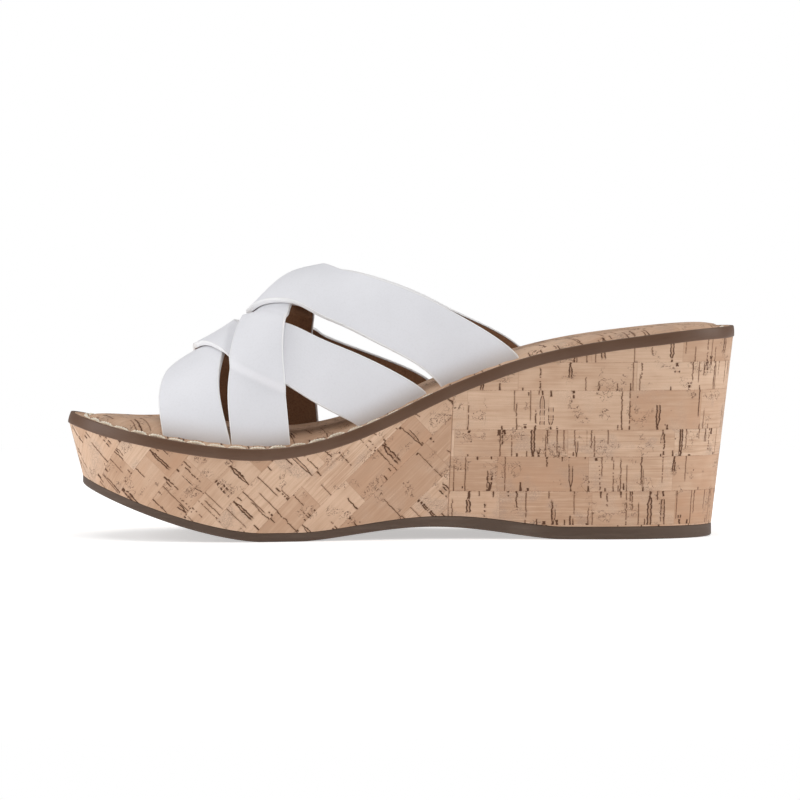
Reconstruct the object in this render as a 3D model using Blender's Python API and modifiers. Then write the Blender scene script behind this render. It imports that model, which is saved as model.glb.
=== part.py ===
"""Wedge sandal for the right foot: a slide with four interlaced straps on a cork wedge.

Metres, +Z up. -X is the toe, +X the heel, -Y the inner (medial) side of the foot.
The origin is under the middle of the sandal, on the ground.

Most pieces are laid out in "footbed space": a point (x, y, depth), where x and y are read
along the rim of the footbed and depth runs square to the footbed, down into the shoe.
"""

import math

import bmesh
import bpy
import numpy as np

# ---------------------------------------------------------------- driving dimensions
FOOTBED_LENGTH = 0.2476
FOOTBED_WIDTH = 0.088
BALL_HEIGHT = 0.0344
TOE_RISE = 0.0124
HEEL_RISE = 0.0442
BALL_AT = 0.29

SOLE_TOE_SPRING = 0.0218
SOLE_BALL_TO = 0.35
SOLE_ARCH = 0.0045
SOLE_HEEL_FROM = 0.735
SOLE_BEND = 1.5
SOLE_THICKENS_FROM, SOLE_THICKENS_OVER = 0.42, 0.26
SOLE_FRONT_THICKNESS = 0.0032
SOLE_HEEL_THICKNESS = 0.0047
SOLE_EDGE_ROUND = 0.0008
SOLE_TOE_INSET = 0.0044
SOLE_HEEL_INSET = 0.0082

RAND_HEIGHT = 0.0042
RAND_THICKNESS = 0.0012
WRAP_THICKNESS = 0.0010
WRAP_UNDER_RAND = 0.0004
WRAP_SEAM_AT = 0.574
WRAP_LEAN = math.radians(35)
WRAP_SEAM_CLEAR_TURN = 0.02

SOCK_THICKNESS = 0.0010
FOAM_EDGE_THICKNESS = 0.0017
DOME_TOE = 0.0034
DOME_HEEL = 0.0020
DOME_START = 0.0050
DOME_RAMP = 0.0100
BOARD_THICKNESS = 0.0018
BOARD_INSET = 0.0025

THREAD_RADIUS = 0.0006
THREAD_INSET = 0.0045

LEATHER_THICKNESS = 0.00125
LINING_THICKNESS = 0.00085
STRAP_INSET = 0.00855
STRAP_BEND = 0.0005
STRAP_MARGIN_SHARE = 0.125
STRAP_RAMP_SHARE = 2.0
STRAP_RAMP_LEAD_SHARE = 0.9
LAST_ROUNDNESS = 2.4
LATERAL_SHIFT_FRONT = 0.0095
LATERAL_SHIFT_REAR = 0.0030
LATERAL_SHIFT_FROM_X, LATERAL_SHIFT_OVER_X = -0.045, 0.060
LATERAL_SHIFT_FROM_TURN, LATERAL_SHIFT_OVER_TURN = 0.45, 0.50
SLOT_TURNS = (0.035, 0.02, 0.008, 0)
SLOT_WIDENING = 1.6

BASIN_FROM, BASIN_TO = 0.105, 0.735
BASIN_INSET = 0.0050
FILLER_CLEARANCE = 0.00145
SHANK_FROM, SHANK_TO = 0.375, 0.70
SHANK_WIDTH_SHARE = 0.136
SHANK_THICKNESS = 0.0012
SHANK_END_STEPS = (0.06, 0.3, 0.65, 1)
SHANK_END_BLUNT = 0.94
RIVET_RADIUS = 0.0016
RIVET_HEAD_RADIUS = 0.0032
RIVET_HEAD_HEIGHT = 0.0008
RIVET_HEAD_TAPER = 0.8
RIVET_INSET = 0.0080

NAIL_RADIUS = 0.0009
NAIL_LENGTH = 0.0200
NAIL_HEAD_RADIUS = 0.0021
NAIL_HEAD_HEIGHT = 0.0007
NAIL_ARC_RADIUS = 0.0150
NAIL_ARC_CENTRE = 0.85
NAIL_COUNT = 5
NAIL_POINT_FROM = 0.85
PIN_CUTTER_OVER = 0.0010

GAP = 0.0003
SLOT_CLEARANCE = 0.0005
CROSSING_CLEARANCE_SHARE = 0.75
MARGIN_CLEARANCE = 0.0006
CORE_CLEARANCE = 0.00045

STATIONS = 30
NAIL_SIDES = 8
RIVET_SIDES = 12
STRAP_ROWS = 46
STRAP_COLUMNS = 4

# Plan outline: (share of the length from the toe, share of the width) for each side.
TOE_TIP = -0.068
MEDIAL_SIDE = [
    (0, TOE_TIP), (0.032, -0.29), (0.112, -0.437), (0.22, -0.5), (0.34, -0.466), (0.48, -0.363),
    (0.60, -0.324), (0.72, -0.352), (0.84, -0.362), (0.92, -0.307), (0.96, -0.239), (1, -0.006),
]
LATERAL_SIDE = [
    (0, TOE_TIP), (0.032, 0.131), (0.112, 0.347), (0.22, 0.472), (0.32, 0.5), (0.44, 0.474),
    (0.60, 0.402), (0.72, 0.375), (0.84, 0.342), (0.92, 0.285), (0.96, 0.219), (1, -0.006),
]

# Rim of the footbed seen from the side: share of the toe rise, and of the heel rise.
TOE_CURVE = [(0, 1), (0.0355, 0.80), (0.098, 0.49), (0.143, 0.322), (0.212, 0.107)]
HEEL_CURVE = [
    (0.342, 0.023), (0.408, 0.113), (0.475, 0.262), (0.541, 0.441), (0.608, 0.60),
    (0.675, 0.733), (0.763, 0.851), (0.852, 0.925), (0.942, 0.98), (1, 1),
]

# Height of the foot under the straps, above the rim, along the length.
LAST_HEIGHTS = [
    (0.115, 0.0190), (0.164, 0.0264), (0.224, 0.0364), (0.285, 0.0480), (0.329, 0.0565), (0.37, 0.0590),
    (0.438, 0.0588), (0.50, 0.0570), (0.58, 0.0520), (0.68, 0.0450), (0.74, 0.0410),
]

# Strap edges as (turn round the foot from the medial side, 0 to 1; x from mid length).
OUTER_STRAP = {
    "front": [
        (0, 0.0142), (0.05, 0.0060), (0.13, -0.0087), (0.22, -0.0245), (0.29, -0.0365), (0.37, -0.0448),
        (0.45, -0.0504), (0.54, -0.0561), (0.68, -0.0612), (0.83, -0.0630), (0.93, -0.0629), (1, -0.0618),
    ],
    "rear": [
        (0, 0.0434), (0.065, 0.0325), (0.147, 0.0178), (0.236, 0.0030), (0.32, -0.0094), (0.42, -0.0215),
        (0.50, -0.0297), (0.60, -0.0373), (0.70, -0.0416), (0.80, -0.0436), (0.90, -0.0432), (1, -0.0414),
    ],
}
INNER_STRAP = {
    "front": [
        (0, -0.0166), (0.021, -0.0228), (0.074, -0.0367), (0.13, -0.0475), (0.20, -0.0568), (0.28, -0.0642),
        (0.38, -0.0700), (0.50, -0.0780), (0.61, -0.0845), (0.72, -0.0876), (0.84, -0.0887), (1, -0.0870),
    ],
    "rear": [
        (0, 0.0091), (0.068, -0.0046), (0.139, -0.0194), (0.20, -0.0330), (0.26, -0.0432), (0.35, -0.0520),
        (0.45, -0.0590), (0.55, -0.0632), (0.70, -0.0666), (0.80, -0.0677), (0.90, -0.0664), (1, -0.0632),
    ],
}

# ---------------------------------------------------------------- derived sizes
STRAP_THICKNESS = LINING_THICKNESS + GAP + LEATHER_THICKNESS
BOARD_TOP = SOCK_THICKNESS + GAP + FOAM_EDGE_THICKNESS + GAP
BOARD_BOTTOM = BOARD_TOP + BOARD_THICKNESS
WEDGE_TOP = BOARD_BOTTOM + GAP
MARGIN_TOP = BOARD_BOTTOM + MARGIN_CLEARANCE
BASIN_FLOOR = MARGIN_TOP + STRAP_THICKNESS + MARGIN_CLEARANCE
WRAP_TOP = RAND_HEIGHT + GAP
SOCK_INSET = RAND_THICKNESS + GAP
SHANK_BOTTOM = BOARD_BOTTOM + GAP + SHANK_THICKNESS
WRAP_PLAN_THICKNESS = WRAP_THICKNESS / math.cos(WRAP_LEAN)
CORE_INSET = WRAP_PLAN_THICKNESS + CORE_CLEARANCE
STRAP_MARGIN = STRAP_MARGIN_SHARE * FOOTBED_WIDTH
STRAP_RAMP = STRAP_RAMP_SHARE * STRAP_THICKNESS
STRAP_RAMP_LEAD = STRAP_RAMP_LEAD_SHARE * STRAP_THICKNESS
CROSSING_CLEARANCE = CROSSING_CLEARANCE_SHARE * STRAP_THICKNESS
FILLER_INSET = STRAP_INSET + STRAP_BEND + STRAP_MARGIN + FILLER_CLEARANCE
SHANK_WIDTH = SHANK_WIDTH_SHARE * FOOTBED_WIDTH


# ---------------------------------------------------------------- curves and surfaces
def smooth_curve(points):
    """A natural cubic spline through (position, value) points, as a function of position."""
    at, value = np.array(points, float).T
    step = np.diff(at)
    slope = np.diff(value) / step
    matrix = np.eye(len(at))
    right = np.zeros(len(at))
    for i in range(1, len(at) - 1):
        matrix[i, i - 1 : i + 2] = step[i - 1], 2 * (step[i - 1] + step[i]), step[i]
        right[i] = 6 * (slope[i] - slope[i - 1])
    bend = np.linalg.solve(matrix, right)

    def value_at(x):
        i = np.clip(np.searchsorted(at, x) - 1, 0, len(step) - 1)
        a, b = at[i + 1] - x, x - at[i]
        cubic = (bend[i] * a**3 + bend[i + 1] * b**3) / (6 * step[i])
        left = (value[i] / step[i] - bend[i] * step[i] / 6) * a
        return cubic + left + (value[i + 1] / step[i] - bend[i + 1] * step[i] / 6) * b

    return value_at


def turn_of(share):
    """The turn from toe (0) to heel (pi) at a share of the length, which bunches points at both ends."""
    return math.acos(max(-1.0, min(1.0, 1 - 2 * share)))


rim_curve = smooth_curve(
    [(u, BALL_HEIGHT + TOE_RISE * rise) for u, rise in TOE_CURVE]
    + [(BALL_AT, BALL_HEIGHT)]
    + [(u, BALL_HEIGHT + HEEL_RISE * rise) for u, rise in HEEL_CURVE]
)
side_curves = [
    smooth_curve([(turn_of(u), share * FOOTBED_WIDTH) for u, share in side])
    for side in (MEDIAL_SIDE, LATERAL_SIDE)
]
last_height = smooth_curve(LAST_HEIGHTS)


def share_of(x):
    return float(np.clip(x / FOOTBED_LENGTH + 0.5, 0, 1))


def rim_at(x):
    """Height and unit normal (x and z parts) of the footbed rim; past the ends it runs on straight."""
    u = share_of(x)
    step = 1e-3
    low, high = max(u - step, 0), min(u + step, 1)
    slope = (rim_curve(high) - rim_curve(low)) / ((high - low) * FOOTBED_LENGTH)
    height = rim_curve(u) + slope * (x - (u - 0.5) * FOOTBED_LENGTH)
    long = math.hypot(1, slope)
    return height, -slope / long, 1 / long


def footbed(x, y, depth):
    """World position of a point in footbed space."""
    height, normal_x, normal_z = rim_at(x)
    return np.array([x - depth * normal_x, y, height - depth * normal_z])


def outline(side, turn, inset=0.0):
    """Plan point on the rim (side 0 medial, 1 lateral), moved square to the edge towards the inside."""
    def plain(angle):
        return np.array([-math.cos(angle) * FOOTBED_LENGTH / 2, side_curves[side](abs(angle))])

    step = 1e-3
    if turn < step or turn > math.pi - step:
        along = np.array([0.0, 1.0 if side == 0 else -1.0]) * (1 if turn > 1 else -1)
    else:
        along = plain(turn + step) - plain(turn - step)
        along /= np.linalg.norm(along)
    inward = np.array([-along[1], along[0]]) * (1 if side == 0 else -1)
    return plain(turn) + inset * inward


def round_the_edge(point):
    """point(side, turn) from toe to heel on the medial side and back on the lateral side."""
    turns = np.linspace(0, math.pi, STATIONS + 1)
    return [point(0, t) for t in turns] + [point(1, t) for t in turns[-2:0:-1]]


def ring(inset):
    """Plan points round the whole edge. The inset is a length, or a function of the share of the length."""
    def point(side, turn):
        return outline(side, turn, inset(share_of(outline(side, turn)[0])) if callable(inset) else inset)

    return round_the_edge(point)


def sole_bottom(x):
    """Height of the tread: toe spring, flat ball, hollow arch and flat heel."""
    u = share_of(x)
    if u < BALL_AT:
        return SOLE_TOE_SPRING * ((BALL_AT - u) / BALL_AT) ** SOLE_BEND
    if SOLE_BALL_TO < u < SOLE_HEEL_FROM:
        along = (u - SOLE_BALL_TO) / (SOLE_HEEL_FROM - SOLE_BALL_TO)
        return SOLE_ARCH * math.sin(math.pi * along) ** SOLE_BEND
    return 0.0


def ramp(value, start, length):
    share = np.clip((value - start) / length, 0, 1)
    return share * share * (3 - 2 * share)


def sole_top(x):
    towards_heel = ramp(share_of(x), SOLE_THICKENS_FROM, SOLE_THICKENS_OVER)
    thickness = SOLE_FRONT_THICKNESS + (SOLE_HEEL_THICKNESS - SOLE_FRONT_THICKNESS) * towards_heel
    return sole_bottom(x) + thickness


def sole_inset(u):
    return SOLE_TOE_INSET + (SOLE_HEEL_INSET - SOLE_TOE_INSET) * u


def wall_point(side, turn, inside, depth):
    """A point inside the wedge's wall, in from the wrap's outer face, at a depth below the rim.

    The wall runs straight from the rand down to the edge of the sole.
    """
    u = share_of(outline(side, turn)[0])
    x, y = outline(side, turn, sole_inset(u) + inside)
    low = np.array([x, y, sole_top(x) + GAP])
    plan = outline(side, turn, WRAP_UNDER_RAND + inside)
    high = footbed(*plan, WRAP_TOP)
    if depth is None:
        return low
    normal_x, normal_z = rim_at(plan[0])[1:]
    drop = (high - low) @ np.array([normal_x, 0, normal_z])
    return high + (low - high) * (depth - WRAP_TOP) / drop


def wall_ring(inside, depth):
    """The wall's section at a depth below the rim, or just above the sole where the depth is None."""
    return round_the_edge(lambda side, turn: wall_point(side, turn, inside, depth))


def dome(inset, u):
    """How far the padding lifts the footbed at this distance from its edge."""
    return (DOME_TOE + (DOME_HEEL - DOME_TOE) * u) * ramp(inset, DOME_START, DOME_RAMP)


# ---------------------------------------------------------------- mesh helpers
def collection(name):
    found = bpy.data.collections.new(name)
    bpy.context.scene.collection.children.link(found)
    return found


def material(name, colour, roughness, metallic=0.0):
    made = bpy.data.materials.new(name)
    made.use_nodes = True
    shader = made.node_tree.nodes["Principled BSDF"]
    shader.inputs["Base Color"].default_value = (*colour, 1)
    shader.inputs["Roughness"].default_value = roughness
    shader.inputs["Metallic"].default_value = metallic
    made.diffuse_color = (*colour, 1)
    return made


def add(name, mesh, finish):
    """A sub-part: an object in the sandal's collection, under its empty, in its own material."""
    obj = bpy.data.objects.new(name, mesh)
    parts.objects.link(obj)
    obj.parent = sandal
    mesh.materials.clear()
    mesh.materials.append(material(name, *finish))
    return obj


def mesh_of(name, build):
    """A mesh filled by build(bm), with its faces turned outwards."""
    bm = bmesh.new()
    build(bm)
    bmesh.ops.recalc_face_normals(bm, faces=bm.faces)
    mesh = bpy.data.meshes.new(name)
    bm.to_mesh(mesh)
    bm.free()
    return mesh


def ladder(bm, loop):
    """Closes a ring with rungs from its medial side to its lateral side."""
    count = len(loop)
    for i in range(count // 2):
        corners = [loop[i], loop[i + 1], loop[(count - i - 1) % count], loop[(count - i) % count]]
        bm.faces.new(list(dict.fromkeys(corners)))


def loft(bm, rings, closed_ends=True):
    """Walls between rings that have the same number of points."""
    loops = [[bm.verts.new(p) for p in points] for points in rings]
    count = len(loops[0])
    for lower, upper in zip(loops, loops[1:]):
        for i in range(count):
            j = (i + 1) % count
            bm.faces.new((lower[i], lower[j], upper[j], upper[i]))
    if closed_ends:
        ladder(bm, loops[0])
        ladder(bm, loops[-1])
    return loops


def beam(bm, sections):
    """A solid through closed sections that have the same number of points, capped at both ends.

    A section runs out along one face and back along the other. The folds between its triangles
    run the same way in both faces, so that layers on one another keep their gap.
    """
    loops = [[bm.verts.new(p) for p in section] for section in sections]
    count = len(loops[0])
    for near, far in zip(loops, loops[1:]):
        for i in range(count):
            j = (i + 1) % count
            a, b = (i, j) if i < count // 2 else (j, i)
            bm.faces.new((near[a], near[b], far[b]))
            bm.faces.new((near[a], far[b], far[a]))
    for loop in (loops[0], loops[-1]):
        for i in range(count // 2 - 1):
            bm.faces.new((loop[i], loop[i + 1], loop[count - i - 2], loop[count - i - 1]))


def strip(bm, rows):
    """An open sheet from rows of points."""
    grid = [[bm.verts.new(p) for p in row] for row in rows]
    for row, following in zip(grid, grid[1:]):
        for i in range(len(row) - 1):
            bm.faces.new((row[i], row[i + 1], following[i + 1], following[i]))


def thicken(obj, thickness, offset):
    """Solidify: offset 1 grows along the sheet's normals, -1 against them."""
    wall = obj.modifiers.new("Thickness", "SOLIDIFY")
    wall.thickness = thickness
    wall.offset = offset
    wall.use_even_offset = True
    return obj


def in_depth(points, depth):
    return [footbed(x, y, depth) for x, y in points]


def cut(obj, cutters):
    """Cuts every object of a collection out of a piece."""
    boolean = obj.modifiers.new("Cut", "BOOLEAN")
    boolean.operand_type = "COLLECTION"
    boolean.collection = cutters
    boolean.operation = "DIFFERENCE"
    boolean.solver = "EXACT"
    return obj


def add_cutter(name, mesh, group):
    obj = bpy.data.objects.new(name, mesh)
    group.objects.link(obj)
    obj.parent = sandal
    obj.hide_render = True
    obj.display_type = "WIRE"
    return obj


def face_outwards(obj):
    """Turns an open wall so that its faces look away from the middle of the shoe."""
    face = obj.data.polygons[0]
    if face.normal.x * face.center.x + face.normal.y * face.center.y < 0:
        obj.data.flip_normals()
    return obj


def face_up(obj):
    """Turns an open sheet so that its middle face looks up."""
    if obj.data.polygons[len(obj.data.polygons) // 2].normal.z < 0:
        obj.data.flip_normals()
    return obj


# ---------------------------------------------------------------- wedge and outsole
def outsole():
    rounded = SOLE_EDGE_ROUND

    def tread(extra, rise):
        points = ring(lambda u: sole_inset(u) + extra)
        return [(x, y, sole_bottom(x) + rise) for x, y in points]

    top = [(x, y, sole_top(x)) for x, y in ring(sole_inset)]
    rings = [tread(rounded, 0), tread(0, rounded), top]
    mesh = mesh_of("outsole", lambda bm: loft(bm, rings))
    return add("outsole", mesh, ((0.084, 0.061, 0.048), 0.6))


def wedge_core():
    rings = [wall_ring(CORE_INSET, None), wall_ring(CORE_INSET, WEDGE_TOP)]
    mesh = mesh_of("wedge_core", lambda bm: loft(bm, rings))
    obj = add("wedge_core", mesh, ((0.50, 0.34, 0.21), 0.9))
    return cut(obj, wedge_cutters)


def cork_wrap(name, turns, colour):
    """The cork sheet along the part of the edge given by turns, from the sole up to the rand."""
    inner = WRAP_PLAN_THICKNESS
    corners = ((0, None), (0, WRAP_TOP), (inner, WRAP_TOP), (inner, None))
    sections = [[wall_point(side, turn, *corner) for corner in corners] for side, turn in turns]
    return add(name, mesh_of(name, lambda bm: beam(bm, sections)), (colour, 0.8))


def cork_wraps():
    seam = turn_of(WRAP_SEAM_AT)
    half_gap = GAP / FOOTBED_LENGTH
    turns = np.linspace(0, math.pi, STATIONS + 1)
    front = [t for t in turns if t < seam - WRAP_SEAM_CLEAR_TURN] + [seam - half_gap]
    back = [seam + half_gap] + [t for t in turns if t > seam + WRAP_SEAM_CLEAR_TURN]
    forepart = [(0, t) for t in front[::-1]] + [(1, t) for t in front[1:]]
    heel = [(0, t) for t in back] + [(1, t) for t in back[-2::-1]]
    cork_wrap("cork_wrap_forepart", forepart, (0.66, 0.47, 0.31))
    cork_wrap("cork_wrap_heel", heel, (0.66, 0.48, 0.32))


def rand():
    rows = [in_depth(ring(0), 0), in_depth(ring(0), RAND_HEIGHT)]
    mesh = mesh_of("rand", lambda bm: loft(bm, rows, closed_ends=False))
    obj = add("rand", mesh, ((0.115, 0.066, 0.042), 0.45))
    return thicken(face_outwards(obj), RAND_THICKNESS, -1)


# ---------------------------------------------------------------- footbed layers
def domed_rings(insets, depth):
    rings = []
    for inset in insets:
        rings.append([footbed(x, y, depth - dome(inset, share_of(x))) for x, y in ring(inset)])
    return rings


def padded_insets():
    ramp_insets = [DOME_START + DOME_RAMP * share for share in (0, 0.33, 0.67, 1)]
    return [SOCK_INSET] + ramp_insets


def sock():
    """The cork sheet on top of the padding."""
    def build(bm):
        loops = loft(bm, domed_rings(padded_insets(), 0), closed_ends=False)
        ladder(bm, loops[-1])

    obj = face_up(add("sock", mesh_of("sock", build), ((0.62, 0.44, 0.29), 0.8)))
    return cut(thicken(obj, SOCK_THICKNESS, -1), slots)


def footbed_foam():
    top = domed_rings(padded_insets(), SOCK_THICKNESS + GAP)
    bottom = in_depth(ring(SOCK_INSET), BOARD_TOP - GAP)
    mesh = mesh_of("footbed_foam", lambda bm: loft(bm, [bottom] + top))
    return cut(add("footbed_foam", mesh, ((0.80, 0.78, 0.72), 0.9)), slots)


def insole_board():
    def build(bm):
        ladder(bm, [bm.verts.new(p) for p in in_depth(ring(BOARD_INSET), BOARD_TOP)])

    obj = face_up(add("insole_board", mesh_of("insole_board", build), ((0.38, 0.27, 0.17), 0.85)))
    return cut(cut(thicken(obj, BOARD_THICKNESS, -1), slots), board_cutters)


def rim_thread():
    """The stitching, as one round thread that lies on the sock all the way round."""
    curve = bpy.data.curves.new("rim_thread", "CURVE")
    curve.dimensions = "3D"
    curve.bevel_depth = THREAD_RADIUS
    curve.bevel_resolution = 1
    points = in_depth(ring(THREAD_INSET), -(THREAD_RADIUS + GAP))
    spline = curve.splines.new("POLY")
    spline.points.add(len(points) - 1)
    for place, point in zip(spline.points, points):
        place.co = (*point, 1)
    spline.use_cyclic_u = True
    obj = bpy.data.objects.new("rim_thread", curve)
    parts.objects.link(obj)
    obj.parent = sandal
    curve.materials.append(material("rim_thread", (0.70, 0.60, 0.45), 0.7))
    return obj


# ---------------------------------------------------------------- inside the wedge
def middle_of(x):
    """The y halfway between the two sides of the footbed at x."""
    turn = turn_of(share_of(x))
    return (side_curves[0](turn) + side_curves[1](turn)) / 2


def plank(bm, shares, half_width, top, bottom):
    """A solid along the middle of the shoe, between two depths, whose half width follows the share."""
    upper, lower = [], []
    for u in shares:
        x = (u - 0.5) * FOOTBED_LENGTH
        for points, depth in ((upper, top), (lower, bottom)):
            points.append([footbed(x, middle_of(x) + s * half_width(u), depth) for s in (-1, 1)])
    rings = [[a[0] for a in part] + [a[1] for a in part[::-1]] for part in (lower, upper)]
    loops = [[bm.verts.new(p) for p in points] for points in rings]
    count = len(loops[0])
    for i in range(count):
        j = (i + 1) % count
        bm.faces.new((loops[0][i], loops[0][j], loops[1][j], loops[1][i]))
    for loop in loops:
        for i in range(count // 2 - 1):
            bm.faces.new((loop[i], loop[i + 1], loop[count - i - 2], loop[count - i - 1]))


def half_width_less(inset):
    def half(u):
        turn = turn_of(u)
        return (side_curves[1](turn) - side_curves[0](turn)) / 2 - inset

    return half


def basin_cutter():
    shares = np.linspace(BASIN_FROM, BASIN_TO, STATIONS)
    return mesh_of(
        "basin",
        lambda bm: plank(bm, shares, half_width_less(BASIN_INSET), BOARD_TOP, BASIN_FLOOR),
    )


def shank_half(u):
    """Half the shank's width, rounded off at its two ends."""
    reach = SHANK_WIDTH / 2 / FOOTBED_LENGTH
    past = max(SHANK_FROM + reach - u, u - (SHANK_TO - reach), 0) / reach
    return SHANK_WIDTH / 2 * math.sqrt(1 - min(past, SHANK_END_BLUNT) ** 2)


def shank_shares():
    reach = SHANK_WIDTH / 2 / FOOTBED_LENGTH
    ends = [reach * share for share in SHANK_END_STEPS]
    middle = np.linspace(SHANK_FROM + reach, SHANK_TO - reach, 12)[1:-1]
    return [SHANK_FROM + e for e in ends] + list(middle) + [SHANK_TO - e for e in ends[::-1]]


def bottom_filler():
    margin = GAP / FOOTBED_LENGTH
    shares = np.linspace(BASIN_FROM + margin, BASIN_TO - margin, STATIONS)
    mesh = mesh_of(
        "bottom_filler",
        lambda bm: plank(bm, shares, half_width_less(FILLER_INSET), BOARD_BOTTOM + GAP, BASIN_FLOOR - GAP),
    )
    return cut(add("bottom_filler", mesh, ((0.42, 0.30, 0.20), 0.9)), filler_cutters)


def shank():
    mesh = mesh_of(
        "shank",
        lambda bm: plank(bm, shank_shares(), shank_half, BOARD_BOTTOM + GAP, SHANK_BOTTOM),
    )
    return cut(add("shank", mesh, ((0.55, 0.55, 0.57), 0.35, 1.0)), shank_cutters)


def shank_cutter():
    def half(u):
        return shank_half(u) + GAP

    shares = stretched(shank_shares())
    return mesh_of("shank_channel", lambda bm: plank(bm, shares, half, BOARD_TOP, BASIN_FLOOR))


def stretched(shares):
    """The same stations with the two ends moved out by the gap and the rivet heads' room."""
    room = GAP / FOOTBED_LENGTH
    return [shares[0] - room] + shares[1:-1] + [shares[-1] + room]


def turned(name, profile):
    """A turned pin from its profile (radius, height), top to bottom, with a Screw modifier."""
    mesh = bpy.data.meshes.new(name)
    points = [(radius, 0, height) for radius, height in profile]
    mesh.from_pydata(points, [(i, i + 1) for i in range(len(points) - 1)], [])
    return mesh


def spin(obj, sides=RIVET_SIDES):
    screw = obj.modifiers.new("Turn", "SCREW")
    screw.steps = screw.render_steps = sides
    screw.use_merge_vertices = True
    screw.merge_threshold = 0.00001
    screw.use_smooth_shade = True
    return obj


def stand(obj, x, y, depth):
    """Places a pin's top at this point of footbed space, square to the footbed."""
    obj.location = footbed(x, y, depth)
    normal_x, normal_z = rim_at(x)[1:]
    obj.rotation_euler = (0, math.atan2(normal_x, normal_z), 0)
    return obj


def pin_cutter(name, group, radius, length, head_radius=0, head_height=0):
    """A cutter for a pin whose top sits at its origin, with the gap all round."""
    widest = max(radius, head_radius) + GAP
    profile = [(0, PIN_CUTTER_OVER), (widest, PIN_CUTTER_OVER)]
    if head_radius:
        profile += [(head_radius + GAP, -head_height - GAP), (radius + GAP, -head_height - GAP)]
    profile += [(radius + GAP, -length - GAP), (0, -length - GAP)]
    return spin(add_cutter(name, turned(name, profile), group))


def shank_rivets():
    """Rivets with a flush countersunk end in the board and a head under the shank."""
    length = SHANK_BOTTOM - BOARD_TOP + GAP
    foot_end = -length - RIVET_HEAD_HEIGHT
    profile = [
        (0, 0), (RIVET_RADIUS, 0), (RIVET_RADIUS, -length), (RIVET_HEAD_RADIUS, -length),
        (RIVET_HEAD_RADIUS * RIVET_HEAD_TAPER, foot_end), (0, foot_end),
    ]
    reach = RIVET_INSET / FOOTBED_LENGTH
    for end, u in (("front", SHANK_FROM + reach), ("rear", SHANK_TO - reach)):
        x = (u - 0.5) * FOOTBED_LENGTH
        name = "shank_rivet_" + end
        rivet = spin(add(name, turned(name, profile), ((0.6, 0.6, 0.62), 0.3, 1.0)))
        stand(rivet, x, middle_of(x), BOARD_TOP)
        for group in (board_cutters, shank_cutters):
            hole = pin_cutter("hole_" + name + "_" + group.name, group, RIVET_RADIUS, 2 * length)
            stand(hole, x, middle_of(x), BOARD_TOP)


def heel_nails():
    """Nails on an arc round the heel, through the board and into the wedge."""
    profile = [
        (0, 0), (NAIL_HEAD_RADIUS, 0), (NAIL_HEAD_RADIUS, -NAIL_HEAD_HEIGHT),
        (NAIL_RADIUS, -NAIL_HEAD_HEIGHT), (NAIL_RADIUS, -NAIL_LENGTH * NAIL_POINT_FROM), (0, -NAIL_LENGTH),
    ]
    centre = (NAIL_ARC_CENTRE - 0.5) * FOOTBED_LENGTH
    for i in range(NAIL_COUNT):
        angle = math.pi * (i / (NAIL_COUNT - 1) - 0.5)
        x = centre + NAIL_ARC_RADIUS * math.cos(angle)
        y = middle_of(centre) + NAIL_ARC_RADIUS * math.sin(angle)
        name = f"heel_nail_{i + 1}"
        nail = spin(add(name, turned(name, profile), ((0.5, 0.5, 0.5), 0.4, 1.0)), NAIL_SIDES)
        stand(nail, x, y, BOARD_TOP)
        sizes = (NAIL_RADIUS, NAIL_LENGTH, NAIL_HEAD_RADIUS, NAIL_HEAD_HEIGHT)
        for group in (board_cutters, wedge_cutters):
            stand(pin_cutter("hole_" + name + "_" + group.name, group, *sizes), x, y, BOARD_TOP)


# ---------------------------------------------------------------- straps
def lateral_shift(x, turn):
    """The lateral legs stand further back than the medial ones, most of all at the front."""
    share = ramp(x, LATERAL_SHIFT_FROM_X, LATERAL_SHIFT_OVER_X)
    reach = LATERAL_SHIFT_FRONT + (LATERAL_SHIFT_REAR - LATERAL_SHIFT_FRONT) * share
    return reach * ramp(turn, LATERAL_SHIFT_FROM_TURN, LATERAL_SHIFT_OVER_TURN)


def edge(points, mirrored):
    """A strap's edge as x at each turn; a mirrored strap starts on the lateral side."""
    curve = smooth_curve(points)
    return lambda turn: float(curve(1 - turn if mirrored else turn))


# Strap 1 lies over 2, 2 over 3, 3 over 4 and 4 over 1, each once.
STRAPS = {}
for number, pattern, mirrored, rides_over in (
    (1, OUTER_STRAP, False, 2),
    (2, OUTER_STRAP, True, 3),
    (3, INNER_STRAP, False, 4),
    (4, INNER_STRAP, True, 1),
):
    STRAPS[number] = {
        "front": edge(pattern["front"], mirrored),
        "rear": edge(pattern["rear"], mirrored),
        "over": rides_over,
    }


def lift(number, x, turn):
    """How far a strap rises where it rides over the strap that it crosses, which may be rising itself.

    Each strap's rise is its ramp times (one strap + the rise of the strap under it), and the four
    straps ride over one another in a circle, so the sum is closed after one round.
    """
    total, product = 0.0, 1.0
    for _ in STRAPS:
        under = STRAPS[number]["over"]
        inside = min(x - STRAPS[under]["front"](turn), STRAPS[under]["rear"](turn) - x)
        product *= ramp(inside, -STRAP_RAMP - STRAP_RAMP_LEAD, STRAP_RAMP)
        total += product
        number = under
    return (STRAP_THICKNESS + CROSSING_CLEARANCE) * total / (1 - product)


def foot(x, turn):
    """A point on the foot's skin: a soft arch over the footbed, from base line to base line."""
    angle = turn * math.pi
    medial, lateral = (curve(turn_of(share_of(x))) for curve in side_curves)
    half = (lateral - medial) / 2 - STRAP_INSET
    power = 2 / LAST_ROUNDNESS
    across = math.copysign(abs(math.cos(angle)) ** power, math.cos(angle))
    up = abs(math.sin(angle)) ** power
    height = rim_at(x)[0] + float(last_height(share_of(x))) * up
    return np.array([x, (lateral + medial) / 2 - half * across, height])


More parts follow.
